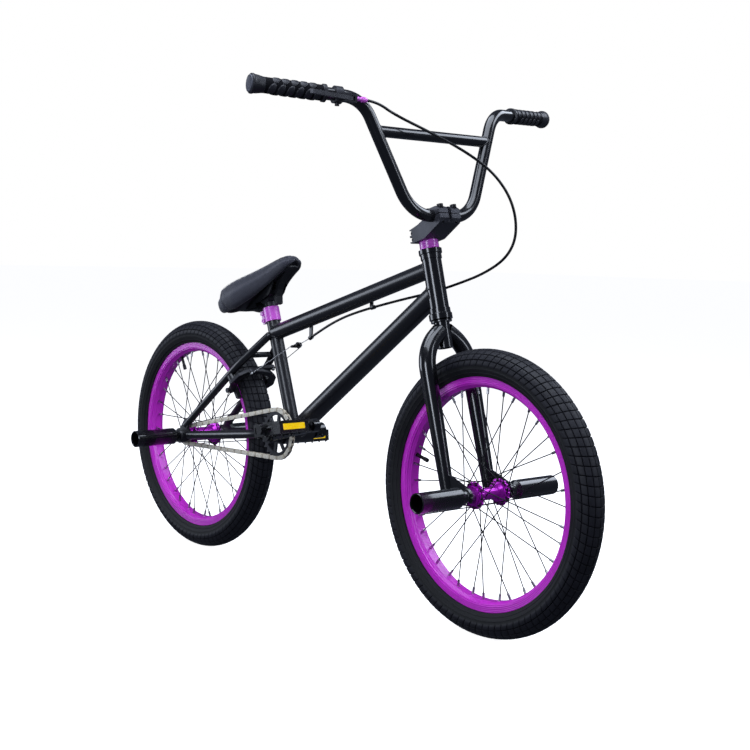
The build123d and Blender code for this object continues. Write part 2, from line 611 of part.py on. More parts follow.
def rim(hub):
    half = RIM_WIDTH / 2
    outer = [(RIM_RADIUS, half), (198, half), (198, half - 1), (194.6, half - 1.6), (194.6, half - 3.4),
             (RIM_INNER_RADIUS, 8.5), (RIM_INNER_RADIUS, -8.5), (194.6, 3.4 - half), (194.6, 1.6 - half),
             (198, 1 - half), (198, -half), (RIM_RADIUS, -half), (RIM_RADIUS, 1.8 - half), (204.1, 1.8 - half),
             (204.1, -9.5), (200.6, -7), (200.6, 7), (204.1, 9.5), (204.1, half - 1.8), (RIM_RADIUS, half - 1.8)]
    cavity = [(202, 12), (199.0, 6), (199.0, -6), (202, -12), (196.5, -12.5), (192, -7.5), (192, 7.5), (196.5, 12.5)]
    body = lathe(outer, hub) - lathe(cavity, hub)
    holes = [rod(*nipple_line(hub, index, -3.5, 3.0), 2.7) for index in range(SPOKES)]
    valve_hole = rod(*valve_line(hub, 186, 196), 4.2)
    return body - Compound(children=holes) - valve_hole


def polar(hub, radius, angle, y):
    return on(hub, radius * cos(radians(angle)), -radius * sin(radians(angle)), y)


def spoke_ends(hub, index, flange_radius):
    """Hub end and rim end of a spoke, and the side of the flange that it lies on."""
    side = 1 if index % 2 else -1
    lead = 1 if (index // 2) % 2 else -1
    rim_angle = VALVE_ANGLE[hub is REAR_HUB] + (index + 0.5) * 360 / SPOKES
    hub_angle = rim_angle + lead * SPOKE_LEAD
    face = FLANGE_Y + (FLANGE_THICK / 2 + SPOKE_RADIUS + 1.6) * lead
    start = polar(hub, flange_radius - 4, hub_angle, side * face)
    end = polar(hub, RIM_INNER_RADIUS, rim_angle, side * 3.0)
    return start, end, side, hub_angle, lead


def nipple_line(hub, index, inward, outward):
    start, end, *_ = spoke_ends(hub, index, FLANGE_RADIUS[hub is REAR_HUB])
    run = (end - start).normalized()
    return end + run * inward, end + run * outward


FLANGE_RADIUS = {False: 24.5, True: 28.0}
VALVE_ANGLE = {False: 166.0, True: 117.5}


def valve_line(hub, low, high):
    angle = VALVE_ANGLE[hub is REAR_HUB]
    return polar(hub, low, angle, 0), polar(hub, high, angle, 0)


def spokes(hub):
    parts = []
    for index in range(SPOKES):
        start, end, side, angle, lead = spoke_ends(hub, index, FLANGE_RADIUS[hub is REAR_HUB])
        run = (end - start).normalized()
        through = polar(hub, FLANGE_RADIUS[hub is REAR_HUB] - 4, angle, side * (FLANGE_Y - lead * 3.6))
        inward = (through - start).normalized()
        wire = bent([end - run * 6, start, through], [2.0], SPOKE_RADIUS)
        parts.append(wire + rod(through - inward * 0.4, through + inward * 0.7, 1.9))
    return pieces(*parts)


def nipples(hub):
    parts = []
    for index in range(SPOKES):
        low, high = nipple_line(hub, index, -12, 3.4)
        run = (high - low).normalized()
        body = rod(low, high, 2.3) + rod(high, high + run * 1.6, 3.4)
        parts.append(body - rod(low - run, low + run * 6, SPOKE_RADIUS))
    return pieces(*parts)


def hub_shell(hub):
    big = FLANGE_RADIUS[hub is REAR_HUB]
    barrel = 11.0 if hub is FRONT_HUB else 15.0
    low, high = FLANGE_Y - FLANGE_THICK / 2, FLANGE_Y + FLANGE_THICK / 2
    half = [(barrel, 0), (barrel, low - 7), (barrel + 4, low - 1.5), (big, low), (big, high), (17, high + 0.8),
            (16.4, HUB_END), (14, HUB_END), (14, HUB_END - 7), (9, HUB_END - 7), (9, 0)]
    body = lathe(half, hub) + lathe([(r, -y) for r, y in half], hub)
    cuts = []
    for index in range(SPOKES):
        start, _, side, angle, lead = spoke_ends(hub, index, big)
        cuts.append(rod(polar(hub, big - 4, angle, side * (low - 2)), polar(hub, big - 4, angle, side * (high + 2)),
                        1.25))
        cuts.append(rod(polar(hub, big + 1.2, angle + 10, side * (low - 2)),
                        polar(hub, big + 1.2, angle + 10, side * (high + 2)), 3.0))
    body = body - Compound(children=cuts)
    bearings = [ring(hub, 14, AXLE_RADIUS + FIT, sign * HUB_END - (7 if sign > 0 else 0),
                     sign * HUB_END + (0 if sign > 0 else 7)) for sign in (-1, 1)]
    return pieces(body, *bearings)


def valve(hub):
    low, high = valve_line(hub, 160, 197)
    run = (high - low).normalized()
    return rod(low + run * 10, high, 3.2) + rod(low, low + run * 10, 3.9)


def axle(hub, width, cone_right):
    half = width / 2 + DROPOUT_THICK + 3 + PEG_NECK + 16
    shaft = hub * Cylinder(AXLE_RADIUS, 2 * half)
    left = ring(hub, 10.0, AXLE_RADIUS, HUB_END + 0.5, width / 2)
    right = ring(hub, 10.0, AXLE_RADIUS, -width / 2, -cone_right)
    return pieces(shaft, left, right)


def peg_start(width, thick):
    return width / 2 + thick + 3.0


def axle_nuts(hub, start):
    parts = []
    for sign in (-1, 1):
        face = sign * start
        low, high = sorted((face, face - sign * 3.0))
        parts.append(ring(hub, 12.0, AXLE_RADIUS, low, high))
        nut_low, nut_high = sorted((sign * (start + PEG_NECK), sign * (start + PEG_NECK + 12)))
        hexagon = hub * Pos(0, 0, nut_low) * extrude(RegularPolygon(11.5, 6), nut_high - nut_low)
        parts.append(hexagon - hub * Cylinder(AXLE_RADIUS, 400))
    return pieces(*parts)


def pegs(hub, start):
    parts = []
    bore = PEG_RADIUS - PEG_WALL
    for sign in (-1, 1):
        profile = [(AXLE_RADIUS, 0), (12.5, 0), (12.5, 6), (16.5, PEG_NECK + 1), (PEG_RADIUS, PEG_NECK + 3),
                   (PEG_RADIUS, PEG_LENGTH - 1), (PEG_RADIUS - 1, PEG_LENGTH), (bore + 0.8, PEG_LENGTH),
                   (bore, PEG_LENGTH - 1), (bore, PEG_NECK), (AXLE_RADIUS, PEG_NECK)]
        placed = [(r, sign * (start + along)) for r, along in profile]
        body = lathe(placed, hub)
        hole = on(hub, 0, 0, sign * (start + PEG_LENGTH - 9))
        parts.append(body - rod(hole, hole + Vector(0, 0, PEG_RADIUS + 5), 2.5))
    return pieces(*parts)


# ---------------------------------------------------------------- drive
BIG_R = PITCH * RING_TEETH / (2 * pi)
SMALL_R = PITCH * COG_TEETH / (2 * pi)


def chain_point(along):
    """Place and heading on the chain loop, from the cog's lower tangent point round the cog first."""
    run = BB - REAR_AXLE
    base = atan2(run.Z, run.X)
    lean = asin((BIG_R - SMALL_R) / run.length)
    cog_arc = SMALL_R * (pi - 2 * lean)
    ring_arc = BIG_R * (pi + 2 * lean)
    straight = sqrt(run.length ** 2 - (BIG_R - SMALL_R) ** 2)
    top = base + pi / 2 + lean
    low = base - pi / 2 - lean
    along = along % (cog_arc + ring_arc + 2 * straight)
    if along < cog_arc:
        turn = low - along / SMALL_R
        return REAR_AXLE.X + SMALL_R * cos(turn), REAR_AXLE.Z + SMALL_R * sin(turn)
    along -= cog_arc
    if along < straight:
        x, z = REAR_AXLE.X + SMALL_R * cos(top), REAR_AXLE.Z + SMALL_R * sin(top)
        return x + along * sin(top), z - along * cos(top)
    along -= straight
    if along < ring_arc:
        turn = top - along / BIG_R
        return BB.X + BIG_R * cos(turn), BB.Z + BIG_R * sin(turn)
    along -= ring_arc
    x, z = BB.X + BIG_R * cos(low), BB.Z + BIG_R * sin(low)
    return x + along * sin(low), z - along * cos(low)


def link(index):
    """One chain link: an inner pair of plates with rollers, or an outer pair with pins."""
    x0, z0 = chain_point(index * PITCH)
    x1, z1 = chain_point((index + 1) * PITCH)
    length = hypot(x1 - x0, z1 - z0)
    base = Plane(origin=(x0, CHAIN_LINE, z0), x_dir=(x1 - x0, 0, z1 - z0), z_dir=(0, 1, 0))
    inner = index % 2 == 0
    side_low, side_high = (2.0, 3.0) if inner else (3.1, 4.1)
    side = Pos(length / 2, 0, 0) * SlotCenterToCenter(length, 8.4)
    solid = Pos(0, 0, side_low) * extrude(side, side_high - side_low)
    solid = solid + Pos(0, 0, -side_high) * extrude(side, side_high - side_low)
    radius, reach = (ROLLER_RADIUS, side_low + 0.1) if inner else (1.8, 4.6)
    for x in (0, length):
        solid = solid + Pos(x, 0, 0) * Cylinder(radius, 2 * reach)
        if inner:
            solid = solid - Pos(x, 0, 0) * Cylinder(1.85, 20)
    return base * solid


def chain():
    return pieces(*[link(index) for index in range(LINKS)])


def toothed_plate(centre, radius, teeth, thick):
    """A plate whose tooth gaps line up with the chain's rollers."""
    origin = Vector(centre.X, CHAIN_LINE, centre.Z)
    base = Plane(origin=origin, x_dir=(1, 0, 0), z_dir=(0, 1, 0))
    plate_solid = base * Cylinder(radius + 2.9, thick)
    spots = [chain_point(k * PITCH) for k in range(LINKS)]
    near = min(spots, key=lambda p: abs(hypot(p[0] - centre.X, p[1] - centre.Z) - radius))
    phase = degrees(atan2(near[1] - centre.Z, near[0] - centre.X))
    gap = ROLLER_RADIUS + 0.25
    cuts = []
    for k in range(teeth):
        turn = Plane(origin=origin, x_dir=(1, 0, 0), z_dir=(0, 1, 0)) * Rot(0, 0, -(phase + k * 360 / teeth))
        notch = Polyline((radius, -gap), (radius + 5, -gap - 4), (radius + 5, gap + 4), (radius, gap), close=True)
        cuts.append(turn * Pos(0, 0, -5) * extrude(make_face(notch), 10))
        cuts.append(turn * Pos(radius, 0, 0) * Cylinder(gap, 10))
    return plate_solid - Compound(children=cuts)


def sprocket():
    plate_solid = toothed_plate(BB, BIG_R, RING_TEETH, 3.2)
    base = Plane(origin=(BB.X, CHAIN_LINE, BB.Z), x_dir=(1, 0, 0), z_dir=(0, 1, 0))
    plate_solid = plate_solid - base * Cylinder(42, 20)
    guard = ring(base, 43.0, 39.0, -2.6, 2.6)
    boss = ring(base, 19.0, SPINDLE_RADIUS, -3, 3)
    arms = [base * Rot(0, 0, k * 45 + 8) * Pos(29, 0, 0) * Box(24, 6.5, 4.4) for k in range(8)]
    body = plate_solid + guard + boss
    for arm in arms:
        body = body + arm
    return body - crank_axes(-1) * Pos(26, 0, CHAIN_LINE) * Cylinder(4.1, 20)


def crank_axes(side):
    """Axes at the crank centre with x along the arm and z along +Y."""
    angle = CRANK_ANGLE if side < 0 else CRANK_ANGLE + 180
    return Plane(origin=BB, x_dir=(cos(radians(angle)), 0, sin(radians(angle))), z_dir=(0, 1, 0))


def crank_arm(side):
    axes = crank_axes(side)
    foot = Plane(axes.location * Pos(4, 0, side * 60.5) * Rot(0, 90, 0))
    toe = Plane(axes.location * Pos(CRANK_LENGTH - 8, 0, side * 85) * Rot(0, 90, 0))
    beam = loft([foot * Ellipse(9.5, 15), toe * Ellipse(6.8, 11.5)])
    boss = axes * Pos(0, 0, side * 60.3) * Cylinder(16.5, 24)
    eye = axes * Pos(CRANK_LENGTH, 0, side * 85) * Cylinder(13, 15)
    body = beam + boss + eye
    if side < 0:
        body = body + axes * Pos(26, 0, side * 50.6) * Cylinder(7.5, 5)
        body = body - axes * Pos(26, 0, 0) * Cylinder(4.1, 140)
    body = body - axes * Pos(0, 0, side * 60) * Cylinder(SPINDLE_RADIUS, 40)
    body = body - axes * Pos(CRANK_LENGTH, 0, side * 85) * Cylinder(7.0, 30)
    body = body - axes * Pos(-14, 0, side * 60.3) * Box(12, 2.0, 30)
    pinch = Plane(axes.location * Pos(-12.2, 0, side * 60.3) * Rot(90, 0, 0))
    return body - pinch * Cylinder(2.6, 60) - pinch * Pos(0, 0, 13) * Cylinder(4.6, 9)


def crank_arms():
    return pieces(crank_arm(-1), crank_arm(1))


def crank_bolts():
    parts = []
    for side in (-1, 1):
        axes = crank_axes(side)
        cap = axes * Pos(0, 0, side * 74.1) * Cylinder(12.5, 3.5)
        key = axes * Pos(0, 0, side * 75.5 - 1.5) * extrude(RegularPolygon(4.6, 6), 3)
        parts.append(cap - key)
        pinch = Plane(axes.location * Pos(-12.2, 0, side * 60.3) * Rot(90, 0, 0))
        parts.append(bolt(pinch, 0, 0, -9, 8.5, 2.6, 4.2, 4.0))
    right = crank_axes(-1)
    parts.append(right * Pos(26, 0, -49.5) * Cylinder(4.0, 14) + right * Pos(26, 0, -41.0) * Cylinder(6.0, 2.4))
    return pieces(*parts)


def crank_spindle():
    shaft = CRANK * Cylinder(SPINDLE_RADIUS, 2 * 72.3) - CRANK * Cylinder(4.5, 200)
    right = ring(CRANK, 12.5, SPINDLE_RADIUS, CHAIN_LINE + 3, -BB_HALF + 0.6)
    left = ring(CRANK, 12.5, SPINDLE_RADIUS, BB_HALF - 0.6, 48.3)
    return pieces(shaft, right, left)


def pedal_axes(side):
    centre = on(crank_axes(side), CRANK_LENGTH, 0, 0)
    return Plane(origin=centre, x_dir=(1, 0, 0), z_dir=(0, 1, 0))


def pedal_axles():
    parts = []
    for side in (-1, 1):
        base = pedal_axes(side)
        low, mid = side * 77.5, side * 97.5
        end = side * (PEDAL_MID + PEDAL_HALF_WIDTH + PEDAL_BARREL_PAST - 6.0)
        parts.append(base * Pos(0, 0, (low + mid) / 2) * Cylinder(7.0, abs(mid - low))
                     + base * Pos(0, 0, side * 95.5) * Cylinder(9.0, 5)
                     + base * Pos(0, 0, (mid + end) / 2) * Cylinder(4.5, abs(end - mid)))
    return pieces(*parts)


def pedal(side):
    """A platform pedal: barrel, two rails, four cross plates, pins, an end cap and two reflectors."""
    centre = on(crank_axes(side), CRANK_LENGTH, 0, 0)
    tilt = radians(PEDAL_TILT[side])
    base = Plane(origin=centre + Vector(0, side * PEDAL_MID, 0), x_dir=(cos(tilt), 0, sin(tilt)),
                 z_dir=(-sin(tilt), 0, cos(tilt)))
    half_w, half_l, half_t = PEDAL_HALF_WIDTH, PEDAL_HALF_LENGTH, PEDAL_THICK / 2
    outer = half_w + PEDAL_BARREL_PAST
    body = None
    for end in (-1, 1):
        rail = block(base, (min(end * (half_l - 7), end * half_l), -half_w, -half_t),
                     (max(end * (half_l - 7), end * half_l), half_w, half_t))
        window = block(base, (min(end * (half_l - 5), end * (half_l + 5)), -REFLECTOR_HALF - 0.2, -6.2),
                       (max(end * (half_l - 5), end * (half_l + 5)), REFLECTOR_HALF + 0.2, 6.2))
        cheek = block(base, (-half_l + 6, min(end * (half_w - 5), end * half_w), -half_t),
                      (half_l - 6, max(end * (half_w - 5), end * half_w), half_t))
        slots = [block(base, (min(x * 9, x * 27), min(end * (half_w - 9), end * (half_w + 4)), -5.5),
                       (max(x * 9, x * 27), max(end * (half_w - 9), end * (half_w + 4)), 5.5)) for x in (-1, 1)]
        web = block(base, (-half_l + 6, end * 15 - 2, -8.5), (half_l - 6, end * 15 + 2, 8.5))
        side_wall = (rail - window) + (cheek - slots[0] - slots[1]) + web
        body = side_wall if body is None else body + side_wall
    corner = 9.0
    outline = [(half_l, half_w - corner), (half_l - corner, half_w), (corner - half_l, half_w),
               (-half_l, half_w - corner), (-half_l, corner - half_w), (corner - half_l, -half_w),
               (half_l - corner, -half_w), (half_l, corner - half_w)]
    trim = Plane(base.location * Pos(0, 0, -half_t - 1))
    body = body & trim * extrude(make_face(Polyline(*outline, close=True)), 2 * half_t + 2)
    for end in (-1, 1):
        for x in (-24, 0, 24):
            body = body + Plane(base.location * Pos(x, end * (half_w - 2.5), 0)) * Cylinder(1.6, 2 * half_t + 5)
        for y in (-29, -10, 10, 29):
            body = body + Plane(base.location * Pos(end * (half_l - 3.5), y, 0)) * Cylinder(1.6, 2 * half_t + 5)
    axis = Plane(base.location * Rot(-90, 0, 0))
    body = body + axis * Pos(0, 0, side * PEDAL_BARREL_PAST / 2) * Cylinder(10.8, 2 * half_w + PEDAL_BARREL_PAST)
    body = body - axis * Cylinder(4.5 + FIT, 2 * outer + 4) - axis * Pos(0, 0, side * outer) * Cylinder(8.6, 12)
    cap = axis * Pos(0, 0, side * (outer - 1.5)) * Cylinder(8.6, 9)
    cap = cap - axis * Pos(0, 0, side * (outer - 6)) * Cylinder(4.5 + FIT, 6)
    glass = [block(base, (min(end * (half_l - 5), end * (half_l - 0.6)), -REFLECTOR_HALF, -6),
                   (max(end * (half_l - 5), end * (half_l - 0.6)), REFLECTOR_HALF, 6)) for end in (-1, 1)]
    glass = [lens & trim * extrude(make_face(Polyline(*outline, close=True)), 2 * half_t + 2) for lens in glass]
    return pieces(body.solids().sort_by(SortBy.VOLUME)[-1], cap, *glass)


def driver():
    """The freewheeling driver on the rear hub's right side, with nine teeth."""
    plate_solid = toothed_plate(REAR_AXLE, SMALL_R, COG_TEETH, 3.2)
    barrel = ring(REAR_HUB, 12.5, AXLE_RADIUS + FIT, -50.2, -HUB_END - GAP)
    bore = REAR_HUB * Cylinder(AXLE_RADIUS + FIT, 200)
    return plate_solid + barrel - bore


# ---------------------------------------------------------------- brake and cables
CABLE_STOP = (-61.0, 5, 505.0)
CABLE_ROUTE = [(289, -97, 922), (330, -48, 893), (371, -2, 862), (400, 38, 829), (417, 66, 790), (423, 82, 748),
               (420, 86, 706), (402, 79, 672), (362, 66, 645), (311, 52, 625), (253, 38, 606), (196, 27, 593),
               (142, 18, 579.5), (86, 13.5, 565.5), (31, 10, 549), (-20, 7, 527)]
GUIDE_BETWEEN = 12        # the guide holds the run that starts at this point of the route
YOKE = Vector(-105.0, 0, 483.0)


def cable_path():
    """The whole housing from the adjuster to the stop, with the largest arcs its runs allow."""
    adjuster_end = on(LEVER, *ADJUSTER_START) + lever_run() * 26.4
    stop = Vector(CABLE_STOP)
    points = [adjuster_end, adjuster_end + lever_run() * 24]
    points += [Vector(*p) for p in CABLE_ROUTE] + [stop]
    radii = []
    for before, here, after in zip(points, points[1:], points[2:]):
        turn = (here - before).get_angle(after - here)
        shorter = min((here - before).length, (after - here).length)
        radii.append(0.45 * shorter / tan(radians(turn) / 2))
    return points, radii


def brake_cable():
    points, radii = cable_path()
    path = FilletPolyline(*points, radius=radii)
    solid = sweep(Plane(origin=path @ 0, z_dir=path % 0) * Circle(CABLE_RADIUS), path)
    print("cable radii", [round(r) for r in radii], "smallest", round(min(radii)))
    print("cable length", round(path.length, 1), "volume ratio",
          round(solid.volume / (pi * CABLE_RADIUS ** 2 * path.length), 4))
    return solid


ARM_END = (75.0, 48.0)                   # cable end of an arm, from its stud: across and along
PAD_RADIUS = 202.5                       # middle of the braking band of the rim
PAD_THICK = 7.6


def brake_arm(side):
    """A curved arm over the tyre with its pad, in the stud's axes; across is towards the wheel."""
    base = stay_frame(side)
    low, high = ARM_LAYERS[side]
    sign = -side

    def spot(across_y, along):
        return sign * across_y, along

    middle = (low + high) / 2
    pad_along = sqrt(PAD_RADIUS ** 2 - middle ** 2) - STUD_REACH
    spine = [spot(9, pad_along), spot(5, -12), spot(0, 0), spot(3, 22), spot(22, 38), spot(50, 46), spot(*ARM_END)]
    widths = [7, 7, 10, 6.5, 6, 5.5, 5.5]
    arm = None
    for (x, y), half in zip(spine, widths):
        disc = base * Pos(x, y, (low + high) / 2) * Cylinder(half, high - low)
        arm = disc if arm is None else arm + disc
    for (a, wa), (b, wb) in zip(zip(spine, widths), zip(spine[1:], widths[1:])):
        run = hypot(b[0] - a[0], b[1] - a[1])
        nx, ny = -(b[1] - a[1]) / run, (b[0] - a[0]) / run
        quad = [(a[0] + nx * wa, a[1] + ny * wa), (b[0] + nx * wb, b[1] + ny * wb),
                (b[0] - nx * wb, b[1] - ny * wb), (a[0] - nx * wa, a[1] - ny * wa)]
        arm = arm + base * Pos(0, 0, low) * extrude(make_face(Polyline(*quad, close=True)), high - low)
    arm = arm - base * Pos(0, 0, (low + high) / 2) * Cylinder(4.0 + FIT, 40)
    bolt_axis = Plane(base.location * Pos(*spot(9, pad_along), middle) * Rot(0, 90 * sign, 0))
    holder = bolt_axis * Pos(0, 0, -0.5) * Cylinder(3.0, 16) + bolt_axis * Pos(0, 0, -9.5) * Cylinder(5.5, 5)
    arm = arm - bolt_axis * Cylinder(3.0, 60)
    holder = holder - arm
    pad_centre = bolt_axis.from_local_coords(Vector(0, 0, 9.0))
    radial = Vector(pad_centre.X - REAR_AXLE.X, 0, pad_centre.Z - REAR_AXLE.Z).normalized()
    pad_base = Plane(origin=pad_centre, x_dir=Vector(radial.Z, 0, -radial.X), z_dir=(0, sign, 0))
    pad = pad_base * Pos(0, 0, PAD_THICK / 2) * Box(42, 8, PAD_THICK)
    shoe = pad_base * Pos(0, 0, -1.0) * Box(38, 8, 2.0) - holder
    return pieces(arm, holder, shoe, pad)


def brake_yoke():
    """The small carrier that the brake's straddle cable hangs from."""
    run = (Vector(CABLE_STOP) - YOKE).normalized()
    base = Plane(origin=YOKE, x_dir=(0, 1, 0), z_dir=run)
    body = base * Pos(0, 0, 2) * Box(16, 5, 10) + base * Pos(0, 0, 7) * Cylinder(3.5, 8)
    saddle = base * Pos(0, 0, -3.5) * Box(26, 4, 5)
    screw = Plane(base.location * Pos(0, 0, 3) * Rot(90, 0, 0)) * Cylinder(3.2, 12)
    return (body + saddle + screw) - base * Cylinder(WIRE_RADIUS, 60)


def inner_cable():
    """The bare wire from the stop to the yoke, and the straddle wire to both brake arms."""
    run = (Vector(CABLE_STOP) - YOKE).normalized()
    stop_run = (Vector(CABLE_STOP) - Vector(CABLE_ROUTE[-1])).normalized()
    wires = [rod(YOKE + run * 11.5, Vector(CABLE_STOP) + stop_run * 9.5, WIRE_RADIUS)]
    for side in (-1, 1):
        base = stay_frame(side)
        layer = ARM_LAYERS[side][1]
        end = on(base, -side * ARM_END[0], ARM_END[1], layer + 2.2)
        start = YOKE - run * 3.5 + Vector(0, -side * 14.5, 0)
        wires.append(rod(start, end, WIRE_RADIUS) + rod(on(base, -side * ARM_END[0], ARM_END[1], layer + 0.4),
                                                        on(base, -side * ARM_END[0], ARM_END[1], layer + 4), 3.2))
    return pieces(*wires)


# ---------------------------------------------------------------- seat
def seat_post():
    tube = ring(SEAT, SEAT_POST_RADIUS, SEAT_POST_RADIUS - 2.2, 92, SADDLE_PIVOT_AT - 14)
    pivot = Plane(origin=SADDLE_PIVOT, x_dir=(1, 0, 0), z_dir=(0, 1, 0))
    head = pivot * Cylinder(POST_HEAD_RADIUS, 25)
    head = head & block(SEAT, (-30, -30, SADDLE_PIVOT_AT - 14), (30, 30, SADDLE_PIVOT_AT + 30))
    slot = block(SADDLE, (-9, -4.4, -20), (9, 4.4, 25))
    return tube + head - slot


STATIONS = [  # forward, half width, top, bottom
    (-119, 36, 52, 27), (-103, 58, 57, 5), (-65, 62, 58, -5), (-15, 50, 57, 6), (41, 30, 58, 18),
    (84, 24, 57, 27), (108, 15, 44, 29),
]


def saddle_loft(inset, drop):
    """A skin through rounded sections along the saddle."""
    sections = []
    for forward, half, top, bottom in STATIONS:
        wide = half - inset
        high, low = top - inset, bottom + drop
        middle = low + (high - low) * 0.35
        points = [(0, high), (wide * 0.55, high - 2), (wide * 0.93, high - (high - low) * 0.35), (wide, middle),
                  (wide * 0.86, low), (wide * 0.4, low + 1), (0, low + 1)]
        points += [(-x, z) for x, z in reversed(points[1:-1])]
        here = Plane(SADDLE.location * Pos(forward + (inset * 0.6 if forward < 0 else -inset * 0.6), 0, 0))
        side = Plane(origin=here.origin, x_dir=here.y_dir, z_dir=here.x_dir)
        sections.append(side * make_face(Spline(*points, periodic=True)))
    return loft(sections)


def saddle_core():
    """The block of the saddle base that stands up into the padding over the post's head."""
    return plate(SADDLE, [(-29, 31), (-29, 3), (-21, -5), (25, -5), (33, 3), (33, 31)], -20, 20)


def saddle_cover():
    return saddle_loft(0, 0) - saddle_core()


def saddle_base():
    """A moulded pan under the padding, with a strip that curves down from the nose in front of the post."""
    strip = plate(SADDLE, [(98, 31), (76, 22), (57, 11), (45, 0), (37.5, -12), (32.5, -27), (24.5, -27), (29, -11),
                           (34, -2), (45, 13), (62, 30)], -8, 8)
    ribs = [plate(SADDLE, [(31, -3), (x, z), (x - 2.4, z + 2.4), (31, 0.5)], -8, 8) for x, z in ((40, -6), (50, 6))]
    tail = plate(SADDLE, [(-84, 0), (-58, -9), (-29, -18.5), (-28, -10), (-33, 4), (-36, 26), (-70, 26)], -12, 12)
    skirts = [plate(SADDLE, [(-78, 1), (-56, -8), (-27, -14), (30, -3), (48, 12), (48, 24), (-60, 24)], low, low + 2.5)
              for low in (-20, 17.5)]
    body = saddle_loft(3.5, -2.5) + strip + ribs[0] + ribs[1] + tail + skirts[0] + skirts[1]
    window = plate(SADDLE, [(-25, -30), (24, -30), (24, -7), (-25, -7)], -30, 30)
    body = body - window - saddle_loft(0, 0) + saddle_core()
    pivot = Plane(origin=SADDLE_PIVOT, x_dir=(1, 0, 0), z_dir=(0, 1, 0))
    body = body - pivot * Cylinder(POST_HEAD_RADIUS + GAP, 25.8)
    for turn in (-12, -6, 0, 6, 12):
        path = Plane(Plane(origin=SADDLE_PIVOT, x_dir=SEAT.x_dir, z_dir=SEAT.z_dir).location * Rot(0, turn, 0))
        body = body - path * Pos(0, 0, -25) * Box(2 * SEAT_POST_RADIUS + 2, 25.8, 50)
        body = body - path * Pos(0, 0, -50) * Box(2 * 18.4, 2 * 18.2, 2 * 28)
        body = body - path * Pos(-22, 0, -50) * Box(20, 19, 56)
    screw = bolt(SADDLE, 0, 0, 8, 22, 4.0, 7.0, 6.0)
    body = body - SADDLE * Pos(0, 0, 20) * Cylinder(4.0, 8) - SADDLE * Pos(0, 0, 28) * Cylinder(7.2, 12)
    return pieces(body.solids().sort_by(SortBy.VOLUME)[-1], screw)


# ---------------------------------------------------------------- write every sub-part
SEAT_STAYS = seat_stays()
CHAIN_STAYS = chain_stays()
SADDLE_COVER = saddle_cover()
FRONT_PEG_Y = peg_start(FRONT_WIDTH, 6.0)
REAR_PEG_Y = peg_start(REAR_WIDTH, DROPOUT_THICK)

MODEL = {
    "head_tube": head_tube, "headset_cups": headset_cups, "top_tube": top_tube, "down_tube": down_tube,
    "seat_tube": seat_tube, "bb_shell": bb_shell, "bb_bearings": bb_bearings,
    "chain_stays": lambda: CHAIN_STAYS, "seat_stays": lambda: SEAT_STAYS, "stay_bridges": stay_bridges,
    "rear_dropouts": lambda: pieces(dropout(-1), dropout(1)), "braze_ons": braze_ons, "seat_clamp": seat_clamp,
    "fork_steerer": fork_steerer, "fork_legs": fork_legs, "headset_spacers": headset_spacers,
    "stem_body": stem_body, "stem_cap": stem_cap, "stem_bolts": stem_bolts, "handlebar": handlebar,
    "crossbar": crossbar, "grips": grips, "lever_bracket": lever_bracket, "barrel_adjuster": barrel_adjuster,
    "lever_blade": lever_blade, "brake_cable": brake_cable, "inner_cable": inner_cable,
    "brake_yoke": brake_yoke, "brake_arm_right": lambda: brake_arm(-1), "brake_arm_left": lambda: brake_arm(1),
    "front_tyre": lambda: tyre(FRONT_HUB), "rear_tyre": lambda: tyre(REAR_HUB),
    "front_rim": lambda: rim(FRONT_HUB), "rear_rim": lambda: rim(REAR_HUB),
    "front_spokes": lambda: spokes(FRONT_HUB), "rear_spokes": lambda: spokes(REAR_HUB),
    "front_nipples": lambda: nipples(FRONT_HUB), "rear_nipples": lambda: nipples(REAR_HUB),
    "front_hub": lambda: hub_shell(FRONT_HUB), "rear_hub": lambda: hub_shell(REAR_HUB),
    "front_valve": lambda: valve(FRONT_HUB), "rear_valve": lambda: valve(REAR_HUB),
    "front_axle": lambda: axle(FRONT_HUB, FRONT_WIDTH, HUB_END + 0.5),
    "rear_axle": lambda: axle(REAR_HUB, REAR_WIDTH, 50.7),
    "front_axle_nuts": lambda: axle_nuts(FRONT_HUB, FRONT_PEG_Y),
    "rear_axle_nuts": lambda: axle_nuts(REAR_HUB, REAR_PEG_Y),
    "front_pegs": lambda: pegs(FRONT_HUB, FRONT_PEG_Y), "rear_pegs": lambda: pegs(REAR_HUB, REAR_PEG_Y),
    "driver_cog": driver, "sprocket": sprocket, "chain": chain, "crank_spindle": crank_spindle,
    "crank_arms": crank_arms, "crank_bolts": crank_bolts, "pedal_axles": pedal_axles,
    "pedal_right": lambda: pedal(-1), "pedal_left": lambda: pedal(1), "seat_post": seat_post,
    "saddle_base": saddle_base, "saddle_cover": lambda: SADDLE_COVER,
}

for name, build in MODEL.items():
    save(name, build())
print(len(MODEL), "sub-parts; crank centre", round(BB_X, 1), "saddle pivot", SADDLE_PIVOT)
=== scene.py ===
import bpy
import math
import numpy as np
from mathutils import Matrix, Vector


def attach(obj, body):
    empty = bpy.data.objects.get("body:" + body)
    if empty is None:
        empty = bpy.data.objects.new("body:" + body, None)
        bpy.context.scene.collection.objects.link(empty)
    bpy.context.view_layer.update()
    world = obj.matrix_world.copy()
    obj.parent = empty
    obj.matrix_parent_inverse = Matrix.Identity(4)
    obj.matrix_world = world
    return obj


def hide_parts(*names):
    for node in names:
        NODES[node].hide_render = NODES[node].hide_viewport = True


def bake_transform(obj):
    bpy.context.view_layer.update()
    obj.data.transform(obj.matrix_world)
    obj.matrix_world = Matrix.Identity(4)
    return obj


# A 20 inch freestyle BMX bike: its soft and fine pieces, built round the frame. +X is forward, +Y the rider's
# left and +Z up, in metres unless a comment says millimetres.

